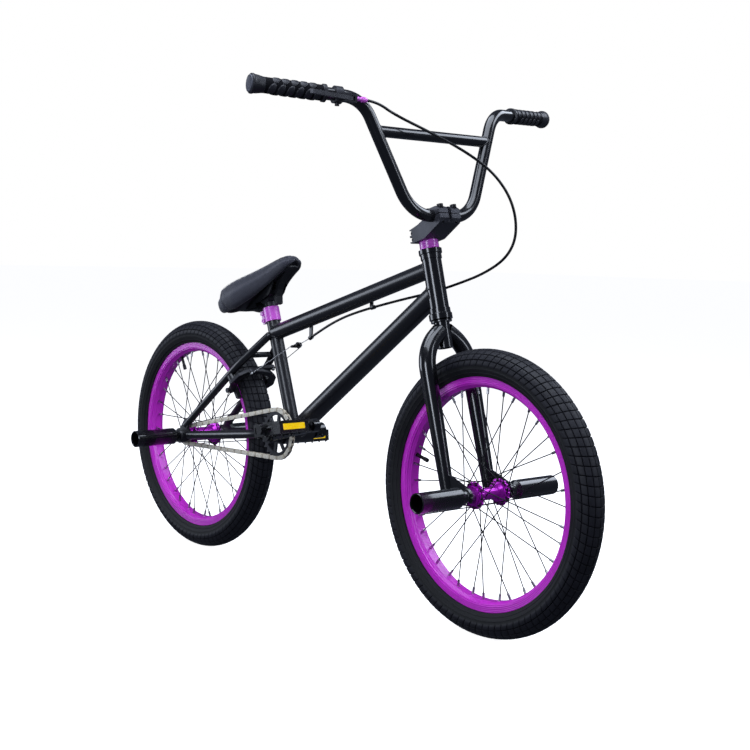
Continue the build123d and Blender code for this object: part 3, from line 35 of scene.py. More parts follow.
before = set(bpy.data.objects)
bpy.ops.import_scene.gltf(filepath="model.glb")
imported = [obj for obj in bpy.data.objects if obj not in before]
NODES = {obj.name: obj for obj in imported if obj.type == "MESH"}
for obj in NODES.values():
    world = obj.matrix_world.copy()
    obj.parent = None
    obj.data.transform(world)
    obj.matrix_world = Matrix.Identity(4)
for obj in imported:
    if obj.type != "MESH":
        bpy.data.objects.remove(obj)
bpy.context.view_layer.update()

# ---------------------------------------------------------------- the bike's own axes, in metres
REAR = Vector((-0.453, 0, 0.258))                # wheel axles
FRONT = Vector((0.453, 0, 0.258))
BB = Vector((-0.108024, 0, 0.3018))              # bottom bracket
HEAD_AT = Vector((0.3203, 0, 0.5688))            # foot of the head tube
HEAD_UP = Vector((-0.26892, 0, 0.963163))
HEAD_FORWARD = Vector((0.963163, 0, 0.26892))
SEAT_UP = Vector((-0.334629, 0, 0.94235))
SEAT_FORWARD = Vector((0.94235, 0, 0.334629))
PIVOT = Vector((-0.207075, 0, 0.580736))         # where the saddle tilts
TILT = math.radians(22)                          # the saddle's nose-up angle
SADDLE_X = Vector((math.cos(TILT), 0, math.sin(TILT)))
SADDLE_Z = Vector((-math.sin(TILT), 0, math.cos(TILT)))
BAR_CLAMP = Vector((0.315509, 0, 0.746975))      # middle of the handlebar, inside the stem
BAR_TUBE_RADIUS = 0.0111
CHAIN_LINE = -0.045                              # the chain's middle plane


def bar_top(sign):
    """Where the bar turns outwards to its grip, on one side."""
    return BAR_CLAMP + Vector((-0.0387, sign * 0.1627, 0.1983))


def head(s, fw=0.0):
    """A place s up the head tube from its foot, and fw in front of its axis."""
    return HEAD_AT + HEAD_UP * s + HEAD_FORWARD * fw


def seat(t, fw=0.0):
    """A place t up the seat tube from the bottom bracket, and fw in front of its axis."""
    return BB + SEAT_UP * t + SEAT_FORWARD * fw


# ---------------------------------------------------------------- camera, light, floor
CAMERA_PLACE = (2.06093, -1.675641, 0.676499)
CAMERA_ANGLES = (2.428060, -0.104399, 0.024152)  # yaw, pitch and roll in radians
SENSOR_MM = 36
LENS_MM = 63.390432
LENS_SHIFT = (0.008488, 0.022856)
WORLD_GLOW = (0.055, 0.063, 0.088, 1)            # dim bluish room light on the bike
WHITE = (1, 1, 1, 1)
COOL = (0.80, 0.87, 1.0)
LIGHTS = [                                       # name, place, aimed at, size, power in watts
    ("overhead", (0.1, -0.5, 2.8), (0, 0, 0.4), (3.2, 2.2), 72),
    ("key", (1.3, -3.1, 1.3), (0.1, 0, 0.45), (0.9, 1.3), 25),
    ("rear_side", (-2.8, -2.0, 0.75), (0, 0, 0.45), (1.7, 1.2), 22),
    ("back", (1.0, 2.1, 2.4), (0.1, 0, 0.6), (2.6, 1.0), 31),
    ("left", (3.0, 1.3, 1.5), (0.1, 0, 0.5), (0.4, 1.8), 12),
]
FLOOR_HALF = 40
MIX_A, MIX_B, MIX_RESULT = 6, 7, 2


def make_camera():
    yaw, pitch, roll = CAMERA_ANGLES
    forward = Vector((math.cos(yaw) * math.cos(pitch), math.sin(yaw) * math.cos(pitch), math.sin(pitch)))
    right = forward.cross(Vector((0, 0, 1))).normalized()
    up = right.cross(forward)
    rolled_right = right * math.cos(roll) + up * math.sin(roll)
    rolled_up = up * math.cos(roll) - right * math.sin(roll)
    camera = bpy.data.cameras.new("camera")
    obj = bpy.data.objects.new("camera", camera)
    bpy.context.scene.collection.objects.link(obj)
    turn = Matrix((rolled_right, rolled_up, -forward)).transposed()
    obj.matrix_world = Matrix.Translation(CAMERA_PLACE) @ turn.to_4x4()
    camera.sensor_width = SENSOR_MM
    camera.lens = LENS_MM
    camera.shift_x, camera.shift_y = LENS_SHIFT
    camera.clip_end = 200
    bpy.context.scene.camera = obj


def area_light(name, place, target, size, power):
    light = bpy.data.lights.new(name, "AREA")
    light.shape = "RECTANGLE"
    light.size, light.size_y = size
    light.energy = power
    light.color = COOL
    obj = bpy.data.objects.new(name, light)
    bpy.context.scene.collection.objects.link(obj)
    obj.location = place
    obj.rotation_euler = (Vector(target) - Vector(place)).to_track_quat("-Z", "Y").to_euler()


def make_light():
    world = bpy.data.worlds.new("studio")
    bpy.context.scene.world = world
    world.use_nodes = True
    tree = world.node_tree
    back = tree.nodes["Background"]
    path = tree.nodes.new("ShaderNodeLightPath")
    tone = tree.nodes.new("ShaderNodeMix")
    tone.data_type = "RGBA"
    tone.inputs[MIX_A].default_value = WORLD_GLOW
    tone.inputs[MIX_B].default_value = WHITE
    tree.links.new(path.outputs["Is Camera Ray"], tone.inputs["Factor"])
    tree.links.new(tone.outputs[MIX_RESULT], back.inputs["Color"])
    for name, place, target, size, power in LIGHTS:
        area_light(name, place, target, size, power)
    view = bpy.context.scene.view_settings
    view.view_transform = "Standard"
    view.look = "None"


def make_floor():
    mesh = bpy.data.meshes.new("floor")
    half = FLOOR_HALF
    corners = [(-half, -half, 0), (half, -half, 0), (half, half, 0), (-half, half, 0)]
    mesh.from_pydata(corners, [], [(0, 1, 2, 3)])
    obj = bpy.data.objects.new("floor", mesh)
    bpy.context.scene.collection.objects.link(obj)
    mat, shader, _ = principled("floor_pale")
    shader.inputs["Base Color"].default_value = (0.9, 0.9, 0.9, 1)
    shader.inputs["Roughness"].default_value = 1.0
    shader.inputs["Specular IOR Level"].default_value = 0.0
    shader.inputs["Emission Color"].default_value = WHITE
    shader.inputs["Emission Strength"].default_value = 0.93
    mesh.materials.append(mat)
    obj.visible_glossy = False
    obj.visible_diffuse = False


# ---------------------------------------------------------------- materials
def principled(name):
    mat = bpy.data.materials.new(name)
    mat.use_nodes = True
    tree = mat.node_tree
    return mat, tree.nodes["Principled BSDF"], tree


def node(tree, kind, **values):
    made = tree.nodes.new(kind)
    for key, value in values.items():
        if hasattr(made, key):
            setattr(made, key, value)
        else:
            made.inputs[key.replace("_", " ")].default_value = value
    return made


COLOUR_FROM, COLOUR_TO = 0.3, 0.72               # part of the slow noise that runs from dark to light
WEAR_FROM, WEAR_TO = 0.58, 0.67                  # how sharp an edge has to be to show wear
GRAIN_DEPTH = 0.0004


def mottled(name, dark, light, rough, metallic=0.0, specular=0.5, coat=0.0, coat_rough=0.1, scale=60.0,
            grain=900.0, bump=0.08, rough_spread=0.08, edge=0.0):
    """A surface with slow colour change, fine grain in its relief, uneven gloss, and wear on its edges."""
    mat, shader, tree = principled(name)
    place = node(tree, "ShaderNodeTexCoord").outputs["Object"]
    slow = node(tree, "ShaderNodeTexNoise", Scale=scale, Detail=5.0, Roughness=0.6)
    fine = node(tree, "ShaderNodeTexNoise", Scale=grain, Detail=3.0, Roughness=0.7)
    tree.links.new(place, slow.inputs["Vector"])
    tree.links.new(place, fine.inputs["Vector"])
    ramp = node(tree, "ShaderNodeValToRGB")
    ramp.color_ramp.elements[0].position = COLOUR_FROM
    ramp.color_ramp.elements[0].color = (*dark, 1)
    ramp.color_ramp.elements[1].position = COLOUR_TO
    ramp.color_ramp.elements[1].color = (*light, 1)
    tree.links.new(slow.outputs["Fac"], ramp.inputs["Fac"])
    colour = ramp.outputs["Color"]
    if edge:
        geometry = node(tree, "ShaderNodeNewGeometry")
        worn = node(tree, "ShaderNodeMapRange")
        worn.inputs["From Min"].default_value = WEAR_FROM
        worn.inputs["From Max"].default_value = WEAR_TO
        tree.links.new(geometry.outputs["Pointiness"], worn.inputs["Value"])
        amount = node(tree, "ShaderNodeMath", operation="MULTIPLY")
        tree.links.new(worn.outputs["Result"], amount.inputs[0])
        amount.inputs[1].default_value = edge
        mix = node(tree, "ShaderNodeMix", data_type="RGBA")
        tree.links.new(amount.outputs[0], mix.inputs["Factor"])
        tree.links.new(colour, mix.inputs[MIX_A])
        mix.inputs[MIX_B].default_value = (*[min(1, c * 2.5 + 0.05) for c in light], 1)
        colour = mix.outputs[MIX_RESULT]
    tree.links.new(colour, shader.inputs["Base Color"])
    gloss = node(tree, "ShaderNodeMapRange")
    gloss.inputs["To Min"].default_value = max(0.02, rough - rough_spread)
    gloss.inputs["To Max"].default_value = min(1.0, rough + rough_spread)
    tree.links.new(slow.outputs["Fac"], gloss.inputs["Value"])
    tree.links.new(gloss.outputs["Result"], shader.inputs["Roughness"])
    relief = node(tree, "ShaderNodeBump", Strength=bump, Distance=GRAIN_DEPTH)
    tree.links.new(fine.outputs["Fac"], relief.inputs["Height"])
    tree.links.new(relief.outputs["Normal"], shader.inputs["Normal"])
    shader.inputs["Metallic"].default_value = metallic
    shader.inputs["Specular IOR Level"].default_value = specular
    shader.inputs["Coat Weight"].default_value = coat
    shader.inputs["Coat Roughness"].default_value = coat_rough
    return mat


def woven(name, dark, light):
    """Charcoal cloth: a fine twill in relief and colour."""
    mat, shader, tree = principled(name)
    place = node(tree, "ShaderNodeTexCoord").outputs["Object"]
    waves = []
    for turn in (0.8, -0.8):
        turned = node(tree, "ShaderNodeMapping")
        turned.inputs["Rotation"].default_value = (0.3, TILT, turn)
        tree.links.new(place, turned.inputs["Vector"])
        wave = node(tree, "ShaderNodeTexWave", Scale=330.0, Distortion=1.0, Detail=2.0)
        wave.inputs["Detail Scale"].default_value = 2.0
        tree.links.new(turned.outputs["Vector"], wave.inputs["Vector"])
        waves.append(wave)
    mix = node(tree, "ShaderNodeMath", operation="MULTIPLY")
    tree.links.new(waves[0].outputs["Fac"], mix.inputs[0])
    tree.links.new(waves[1].outputs["Fac"], mix.inputs[1])
    slow = node(tree, "ShaderNodeTexNoise", Scale=25.0, Detail=4.0)
    tree.links.new(place, slow.inputs["Vector"])
    both = node(tree, "ShaderNodeMath", operation="MULTIPLY_ADD")
    tree.links.new(slow.outputs["Fac"], both.inputs[0])
    both.inputs[1].default_value = 0.7
    tree.links.new(mix.outputs[0], both.inputs[2])
    ramp = node(tree, "ShaderNodeValToRGB")
    ramp.color_ramp.elements[0].position = 0.25
    ramp.color_ramp.elements[0].color = (*dark, 1)
    ramp.color_ramp.elements[1].position = 1.0
    ramp.color_ramp.elements[1].color = (*light, 1)
    tree.links.new(both.outputs[0], ramp.inputs["Fac"])
    tree.links.new(ramp.outputs["Color"], shader.inputs["Base Color"])
    relief = node(tree, "ShaderNodeBump", Strength=0.35, Distance=0.0005)
    tree.links.new(mix.outputs[0], relief.inputs["Height"])
    tree.links.new(relief.outputs["Normal"], shader.inputs["Normal"])
    shader.inputs["Roughness"].default_value = 0.78
    shader.inputs["Specular IOR Level"].default_value = 0.3
    shader.inputs["Sheen Weight"].default_value = 0.35
    shader.inputs["Sheen Roughness"].default_value = 0.45
    return mat


PAINT = mottled("frame_paint", (0.0055, 0.0057, 0.0080), (0.0078, 0.0081, 0.0115), 0.36, coat=0.5,
                coat_rough=0.24, specular=0.7, bump=0.02, scale=18, grain=700)
GLOSS = mottled("gloss_black", (0.0028, 0.0029, 0.0042), (0.0044, 0.0046, 0.0065), 0.24, coat=1.0,
                coat_rough=0.06, bump=0.008, scale=14, grain=500)
SATIN = mottled("satin_black_metal", (0.020, 0.0205, 0.026), (0.034, 0.0345, 0.042), 0.38, metallic=0.3,
                bump=0.05, scale=50, grain=1600, edge=0.35)
# Painted sheen: a lighter copy of the satin black, standing in for the light the stem's faces catch.
STEM_PAINTED_SHEEN = mottled("stem_black_painted_sheen", (0.034, 0.0345, 0.043), (0.050, 0.051, 0.063), 0.36, metallic=0.3,
               bump=0.05, scale=50, grain=1600, edge=0.35)
DARK_STEEL = mottled("black_steel", (0.018, 0.018, 0.020), (0.035, 0.035, 0.038), 0.34, metallic=0.8,
                     scale=70, grain=1300, bump=0.05, edge=0.5)
STEEL = mottled("bright_steel", (0.42, 0.42, 0.43), (0.62, 0.62, 0.63), 0.28, metallic=1.0, scale=120,
                grain=1600, bump=0.05)
# Painted shade: a darker copy of the chain's nickel for the inner plates and rollers, which sit between the
# outer plates.
CHAIN_INNER_SHADE = mottled("chain_inner_painted_shade", (0.50, 0.43, 0.33), (0.76, 0.67, 0.52), 0.36, metallic=0.15, scale=220,
                      grain=1400, rough_spread=0.12)
CHAIN_STEEL = mottled("chain_nickel", (0.95, 0.86, 0.70), (1.0, 0.96, 0.82), 0.28, scale=220, grain=1400,
                      rough_spread=0.12)
PURPLE = mottled("purple_anodised", (0.58, 0.018, 0.64), (0.72, 0.028, 0.80), 0.26, metallic=0.55,
                 coat=0.15, coat_rough=0.12, scale=22, grain=1500, bump=0.02, rough_spread=0.05)
PURPLE_BRIGHT = mottled("purple_bright", (0.97, 0.15, 0.98), (1.0, 0.20, 1.0), 0.26, coat=0.9,
                        coat_rough=0.16, scale=40, grain=1500, bump=0.02, rough_spread=0.04)
TYRE = mottled("tyre_rubber", (0.0095, 0.0096, 0.0142), (0.0168, 0.0170, 0.0245), 0.56, specular=0.42,
               scale=45, grain=1100, bump=0.3, rough_spread=0.1)
# Painted shade: a near-black surface for the tyre grooves and the gaps between the grip pads.
PAINTED_RECESS_SHADE = mottled("painted_recess_shade", (0.004, 0.004, 0.006), (0.007, 0.007, 0.010), 0.85, specular=0.15, bump=0.2)
SIDEWALL = mottled("tyre_sidewall", (0.0105, 0.011, 0.0125), (0.017, 0.0175, 0.0195), 0.6, specular=0.36,
                   scale=40, grain=1500, bump=0.12)
GRIP = mottled("grip_rubber", (0.013, 0.0135, 0.018), (0.024, 0.0245, 0.032), 0.40, specular=0.55,
               grain=1500, bump=0.15)
PLUG = mottled("bar_plug", (0.070, 0.074, 0.095), (0.115, 0.120, 0.150), 0.45, scale=90, grain=1400,
               bump=0.15)
PLASTIC = mottled("pedal_plastic", (0.007, 0.007, 0.008), (0.012, 0.012, 0.014), 0.28, specular=0.6,
                  coat=0.3, coat_rough=0.12, edge=0.2)
HULL = mottled("saddle_plastic", (0.009, 0.0095, 0.012), (0.015, 0.0155, 0.019), 0.48, specular=0.45,
               grain=1800, bump=0.2)
SHEATH = mottled("cable_sheath", (0.006, 0.006, 0.007), (0.010, 0.010, 0.011), 0.3, coat=0.3, scale=50,
                 grain=1200, bump=0.05)
CLOTH = woven("saddle_cloth", (0.022, 0.0225, 0.032), (0.062, 0.063, 0.086))
THREAD = mottled("stitch_thread", (0.020, 0.021, 0.026), (0.035, 0.036, 0.044), 0.8, specular=0.3,
                 scale=300, grain=3000, bump=0.3)
RING_PITCH = 0.0030       # between the rings turned into a rim's sides
KNURLS = 360.0            # round a rim


def anodised_rim(name, centre):
    """Purple rim: turned rings and fine knurling on its sides, worked out from the distance to the axle."""
    mat = mottled(name, (0.86, 0.034, 0.86), (1.0, 0.048, 0.98), 0.24, coat=0.3, scale=22, grain=1500,
                  bump=0.02, rough_spread=0.05)
    tree = mat.node_tree
    shader = tree.nodes["Principled BSDF"]
    place = node(tree, "ShaderNodeTexCoord").outputs["Object"]
    away = node(tree, "ShaderNodeVectorMath", operation="SUBTRACT")
    tree.links.new(place, away.inputs[0])
    away.inputs[1].default_value = centre
    flat = node(tree, "ShaderNodeVectorMath", operation="MULTIPLY")
    tree.links.new(away.outputs[0], flat.inputs[0])
    flat.inputs[1].default_value = (1, 0, 1)
    length = node(tree, "ShaderNodeVectorMath", operation="LENGTH")
    tree.links.new(flat.outputs[0], length.inputs[0])
    parts = node(tree, "ShaderNodeSeparateXYZ")
    tree.links.new(flat.outputs[0], parts.inputs[0])
    turn = node(tree, "ShaderNodeMath", operation="ARCTAN2")
    tree.links.new(parts.outputs[2], turn.inputs[0])
    tree.links.new(parts.outputs[0], turn.inputs[1])
    waves = []
    for source, rate in ((length.outputs["Value"], 2 * math.pi / RING_PITCH), (turn.outputs[0], KNURLS)):
        times = node(tree, "ShaderNodeMath", operation="MULTIPLY")
        tree.links.new(source, times.inputs[0])
        times.inputs[1].default_value = rate
        sine = node(tree, "ShaderNodeMath", operation="SINE")
        tree.links.new(times.outputs[0], sine.inputs[0])
        waves.append(sine)
    both = node(tree, "ShaderNodeMath", operation="MULTIPLY")
    tree.links.new(waves[0].outputs[0], both.inputs[0])
    tree.links.new(waves[1].outputs[0], both.inputs[1])
    total = node(tree, "ShaderNodeMath", operation="MULTIPLY_ADD")
    tree.links.new(both.outputs[0], total.inputs[0])
    total.inputs[1].default_value = 0.5
    tree.links.new(waves[0].outputs[0], total.inputs[2])
    relief = node(tree, "ShaderNodeBump", Strength=0.35, Distance=0.0006)
    tree.links.new(total.outputs[0], relief.inputs["Height"])
    tree.links.new(relief.outputs["Normal"], shader.inputs["Normal"])
    return mat


FRONT_RIM = anodised_rim("front_rim_purple", FRONT)
REAR_RIM = anodised_rim("rear_rim_purple", REAR)

LOOKS = {
    PAINT: ["top_tube", "down_tube", "seat_tube", "bb_shell", "chain_stays", "seat_stays", "stay_bridges",
            "rear_dropouts", "braze_ons"],
    GLOSS: ["head_tube", "fork_steerer", "fork_legs", "handlebar", "crossbar", "crank_arms", "headset_cups",
            "front_pegs", "rear_pegs"],
    STEM_PAINTED_SHEEN: ["stem_body", "stem_cap"],
    SATIN: ["lever_bracket", "lever_blade", "brake_arm_right", "brake_arm_left", "sprocket", "seat_post"],
    DARK_STEEL: ["stem_bolts", "crank_bolts", "crank_spindle", "pedal_axles", "front_spokes", "rear_spokes",
                 "front_valve", "rear_valve", "brake_yoke"],
    STEEL: ["bb_bearings", "front_axle", "rear_axle", "front_axle_nuts", "rear_axle_nuts", "inner_cable",
            "driver_cog", "front_nipples", "rear_nipples"],
    CHAIN_STEEL: ["chain"],
    PURPLE: ["front_hub", "rear_hub"],
    FRONT_RIM: ["front_rim"],
    REAR_RIM: ["rear_rim"],
    PURPLE_BRIGHT: ["seat_clamp", "headset_spacers", "barrel_adjuster"],
    TYRE: ["front_tyre", "rear_tyre"],
    GRIP: ["grips"],
    SHEATH: ["brake_cable"],
    PLASTIC: ["pedal_right", "pedal_left"],
    HULL: ["saddle_base"],
    CLOTH: ["saddle_cover"],
}


INNER_PLATES = 0.00305    # from the chain line to the outside of its inner plates


def dress_nodes():
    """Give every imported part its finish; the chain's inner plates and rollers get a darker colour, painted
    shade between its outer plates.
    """
    for mat, names in LOOKS.items():
        for name in names:
            obj = NODES[name]
            obj.data.materials.clear()
            obj.data.materials.append(mat)
    chain = NODES["chain"].data
    chain.materials.append(CHAIN_INNER_SHADE)
    for polygon in chain.polygons:
        # Polygons close to the chain line take the painted shade.
        polygon.material_index = 0 if abs(polygon.center.y - CHAIN_LINE) > INNER_PLATES else 1


# ---------------------------------------------------------------- building pieces
def piece(name, verts, faces, materials, body, sharp=None, indices=None):
    """A mesh that rides on a body; sharp is the angle in degrees past which its edges stay crisp."""
    mesh = bpy.data.meshes.new(name)
    mesh.from_pydata([tuple(v) for v in verts], [], faces)
    for mat in materials:
        mesh.materials.append(mat)
    if indices is not None:
        mesh.polygons.foreach_set("material_index", indices)
    mesh.update()
    mesh.shade_smooth()
    if sharp:
        mesh.set_sharp_from_angle(angle=math.radians(sharp))
    obj = bpy.data.objects.new(name, mesh)
    bpy.context.scene.collection.objects.link(obj)
    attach(obj, body)
    return obj


def grid_faces(rows, columns, wrap_rows=False, wrap_columns=False, offset=0):
    """Quads of a grid of points numbered row by row."""
    faces = []
    for i in range(rows if wrap_rows else rows - 1):
        for j in range(columns if wrap_columns else columns - 1):
            a, b = i * columns + j, i * columns + (j + 1) % columns
            c, d = ((i + 1) % rows) * columns + (j + 1) % columns, ((i + 1) % rows) * columns + j
            faces.append((a + offset, b + offset, c + offset, d + offset))
    return faces


def ease(x):
    """From 0 to 1 with a soft start and a soft stop."""
    return x * x * (3 - 2 * x)


# ---------------------------------------------------------------- tyres, in millimetres
TREAD_ROWS = 96
TREAD_COLUMNS = 6
TREAD_EDGE = 70.0         # degrees round the tyre's section where the square blocks end
TREAD_DEPTH = 1.7
BLOCK_HEIGHT = 1.65
BLOCK_LEAN = 0.8          # how far the outermost blocks lean, in rows
LEAN_EDGE = 92            # degrees round the section where they lean most
TYRE_RING = 229.65        # from the axle to the middle of the tyre's section
TYRE_ROUND = 28.35        # radius of the section over the tread
# Share of a block's width and its height there, across the tyre and along it.
BLOCK_ACROSS = ((0.05, 0.0), (0.095, 0.9), (0.22, 1.0), (0.78, 1.0), (0.905, 0.9), (0.95, 0.0))
BLOCK_ALONG = ((0.036, 0.0), (0.075, 0.9), (0.2, 1.0), (0.8, 1.0), (0.925, 0.9), (0.964, 0.0))
# Degrees round the section, height, and whether it is tread: the shoulder blocks, then the ribbed sidewall.
SHOULDER = [(71.6, 0.0, 1), (72.8, 0.9, 1), (77, 1.0, 1), (83, 1.0, 1), (88, 0.8, 1), (92, 0.4, 1),
            (95, 0.0, 0)]
WALL = [(98, 0.0, 0), (103, 0.0, 0), (104, 0.35, 0), (105, 0.35, 0), (106, 0.0, 0), (111, 0.0, 0),
        (116, 0.0, 0), (119, 0.0, 0), (120, 0.4, 0), (122, 0.4, 0), (123, 0.0, 0), (126, 0.0, 0),
        (128.5, 0.0, 0)]
# The tyre's beads inside the rim: distance from the axle, and from the tyre's middle.
BEADS = [(209.4, 19.6), (209.2, 14.8), (205.0, 14.6), (205.0, -14.6), (209.2, -14.8), (209.4, -19.6)]


def tyre_section():
    """Places across the tyre: angle round its section, how high the tread stands, and whether it is tread."""
    wide = 2 * TREAD_EDGE / TREAD_COLUMNS
    section = []
    for k in range(TREAD_COLUMNS):
        low = -TREAD_EDGE + k * wide
        section += [(low + share * wide, height, 1) for share, height in BLOCK_ACROSS]
    right = SHOULDER + WALL
    return [(-a, h, t) for a, h, t in reversed(right)] + section + right


def make_tyre(name, centre, body):
    """A tyre with rows of square tread blocks, painted shade in the grooves between them, ribbed sidewalls and
    beads.
    """
    section = tyre_section()
    angles = np.radians([s[0] for s in section])
    heights = np.array([s[1] for s in section])
    is_tread = np.array([s[2] for s in section])
    block = np.array(BLOCK_ALONG)
    around = np.concatenate([(k + block[:, 0]) / TREAD_ROWS for k in range(TREAD_ROWS)]) * 2 * math.pi
    along = np.tile(block[:, 1], TREAD_ROWS)
    blocks = np.minimum(along[:, None], 1) * heights[None, :]
    lift = np.where(is_tread[None, :] > 0, blocks, heights[None, :])
    radius = TYRE_ROUND - TREAD_DEPTH + BLOCK_HEIGHT * lift
    lean = np.clip(np.abs(np.degrees(angles)) / LEAN_EDGE, 0, 1) ** 1.8
    bend = 2 * math.pi / TREAD_ROWS * BLOCK_LEAN * lean
    r = TYRE_RING + radius * np.cos(angles)[None, :]
    y = radius * np.sin(angles)[None, :]
    turn = around[:, None] + bend[None, :]
    r = np.concatenate([r, np.tile([p[0] for p in BEADS], (len(around), 1))], axis=1) / 1000
    y = np.concatenate([y, np.tile([p[1] for p in BEADS], (len(around), 1))], axis=1) / 1000
    bead_turn = np.tile([bend[-1]] * len(BEADS), (len(around), 1)) + around[:, None]
    turn = np.concatenate([turn, bead_turn], axis=1)
    verts = np.stack([centre.x + r * np.cos(turn), y, centre.z + r * np.sin(turn)], axis=-1).reshape(-1, 3)
    columns = len(section) + len(BEADS)
    faces = grid_faces(len(around), columns, True, True)
    # Faces that lie low between the blocks get the painted groove shade.
    low = lift < 0.05
    low = low & np.roll(low, -1, axis=1)
    low = low & np.roll(low, -1, axis=0)
    rubber, sidewall, groove_shade = 0, 1, 2
    indices = np.full((len(around), columns), sidewall)
    for j in range(len(section) - 1):
        if is_tread[j] and is_tread[j + 1]:
            indices[:, j] = np.where(low[:, j], groove_shade, rubber)
    materials = [TYRE, SIDEWALL, PAINTED_RECESS_SHADE]
    obj = piece(name, verts, faces, materials, body, 38, indices.ravel().tolist())
    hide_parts(name.replace("_carcass", ""))


# ---------------------------------------------------------------- saddle, in millimetres
def spline(xs, ys, at):
    """A smooth curve through points, without overshoot."""
    xs, ys, at = np.array(xs, float), np.array(ys, float), np.array(at, float)
    step = np.diff(xs)
    slope = np.diff(ys) / step
    m = np.zeros(len(xs))
    for i in range(1, len(xs) - 1):
        if slope[i - 1] * slope[i] > 0:
            w1, w2 = 2 * step[i] + step[i - 1], step[i] + 2 * step[i - 1]
            m[i] = (w1 + w2) / (w1 / slope[i - 1] + w2 / slope[i])
    m[0], m[-1] = slope[0], slope[-1]
    k = np.clip(np.searchsorted(xs, at) - 1, 0, len(xs) - 2)
    t = (at - xs[k]) / step[k]
    return (ys[k] * (1 + 2 * t) * (1 - t) ** 2 + m[k] * step[k] * t * (1 - t) ** 2
            + ys[k + 1] * t * t * (3 - 2 * t) + m[k + 1] * step[k] * t * t * (t - 1))


def saddle_point(x, y, z):
    """Saddle axes in millimetres to a place in metres."""
    return PIVOT + SADDLE_X * (x / 1000) + Vector((0, y / 1000, 0)) + SADDLE_Z * (z / 1000)


# The cover's profile from tail to nose: half width, top, the two long seams, the height where it is widest,
# and the lower edge.
SADDLE = {
    "x": [-116, -110, -99, -81, -54, -27, 0, 27, 54, 76, 92, 102, 106],
    "half": [48, 52, 57, 60, 60.5, 54, 43, 33.5, 27.5, 25, 23.5, 21, 18],
    "top": [51, 54, 56.5, 58, 58.8, 58.6, 58.5, 58.5, 58.5, 58, 56.5, 53, 50],
    "seam_half": [35, 39, 43, 44, 42, 36.5, 29.5, 23.5, 19.5, 17.5, 16, 13.5, 11],
    "seam_top": [46, 49, 51.5, 52.8, 53.6, 53.5, 53.3, 53.3, 53.4, 53, 51.5, 48.5, 46],
    "wide_at": [25, 21, 18, 16, 15, 18, 22, 27, 31, 34, 36, 37, 37],
    "low": [10, 4, -1, -4, -5.5, -2, 4, 11, 18, 23, 26, 29, 31],
}
ROUND = 96                # points round the saddle's section
LONG = 150                # sections along it
HALF_ROUND = ROUND // 2
SEAM_SHARE = 0.225        # how far round half a section its long seam lies
SEAM_START, SEAM_STOP = 6, LONG - 3               # sections where the long seams start and stop
SIDE_START, SIDE_STOP = 8, int(LONG * 0.235)      # the same for the seams down the tail's sides
SIDE_SHARE = 0.62         # how far round half a section those end
NOSE_START, NOSE_STOP = int(LONG * 0.86), LONG - 14     # the same for the seams that meet on the nose
TAIL_DEPTH, NOSE_DEPTH = 5.0, 9.0                 # how far the rounded ends stand out
SEAM_SAMPLE = 0.6         # between the points used to measure the distance to a seam
SEAM_BATCH = 200          # points measured at once
PUFF, PUFF_REACH = 0.9, 7.0
SEAM_SINK, SEAM_REACH = 1.5, 1.3
FOLD, FOLD_REACH = 0.25, 9.0
STITCH_PITCH, STITCH_LENGTH, STITCH_RADIUS = 3.6, 2.6, 0.33
STITCH_ASIDE, STITCH_LIFT = 1.9, 0.15
STITCH_SHAPE = ((-0.5, 0.25), (-0.36, 0.85), (0, 1.0), (0.36, 0.85), (0.5, 0.25))
END_TURNS = [12, 24, 36, 48, 59, 69, 78, 85]      # degrees, for the rounded tail and nose


def saddle_sections():
    """The cover's smooth surface as a grid of places, section by section from tail to nose."""
    ends = 0.5 - 0.5 * np.cos(np.linspace(0, math.pi, LONG))
    x = SADDLE["x"][0] + (SADDLE["x"][-1] - SADDLE["x"][0]) * (0.35 * ends + 0.65 * np.linspace(0, 1, LONG))
    value = {key: spline(SADDLE["x"], SADDLE[key], x) for key in SADDLE if key != "x"}
    rows = []
    for i in range(LONG):
        half, top, low = value["half"][i], value["top"][i], value["low"][i]
        seam_y, seam_z, wide = value["seam_half"][i], value["seam_top"][i], value["wide_at"][i]
        key_y = [0, seam_y * 0.55, seam_y * 0.9, seam_y, seam_y + (half - seam_y) * 0.42, half * 0.985, half,
                 half * 0.965, half * 0.86, half * 0.5, 0]
        key_z = [top, top - (top - seam_z) * 0.28, seam_z + 0.8, seam_z, wide + (seam_z - wide) * 0.56,
                 wide + (seam_z - wide) * 0.12, wide - (wide - low) * 0.25, low + (wide - low) * 0.22, low,
                 low + 6, low + 8]
        key_t = [0, 0.12, 0.20, SEAM_SHARE, 0.32, 0.44, 0.52, 0.60, 0.68, 0.84, 1.0]
        t = np.linspace(0, 1, HALF_ROUND + 1)
        half_y, half_z = spline(key_t, key_y, t), spline(key_t, key_z, t)
        ring_y = np.concatenate([half_y, -half_y[1:-1][::-1]])
        ring_z = np.concatenate([half_z, half_z[1:-1][::-1]])
        rows.append(np.stack([np.full(len(ring_y), x[i]), ring_y, ring_z], axis=-1))
    return np.array(rows)


def close_end(row, outward, depth):
    """Rounded rows that draw a section in to its middle."""
    middle = row.mean(axis=0)
    made = []
    for turn in np.radians(END_TURNS):
        ring = middle + (row - middle) * np.array([1, math.cos(turn) ** 0.8, math.cos(turn) ** 0.8])
        ring[:, 0] = row[:, 0] + outward * depth * math.sin(turn)
        made.append(ring)
    return made


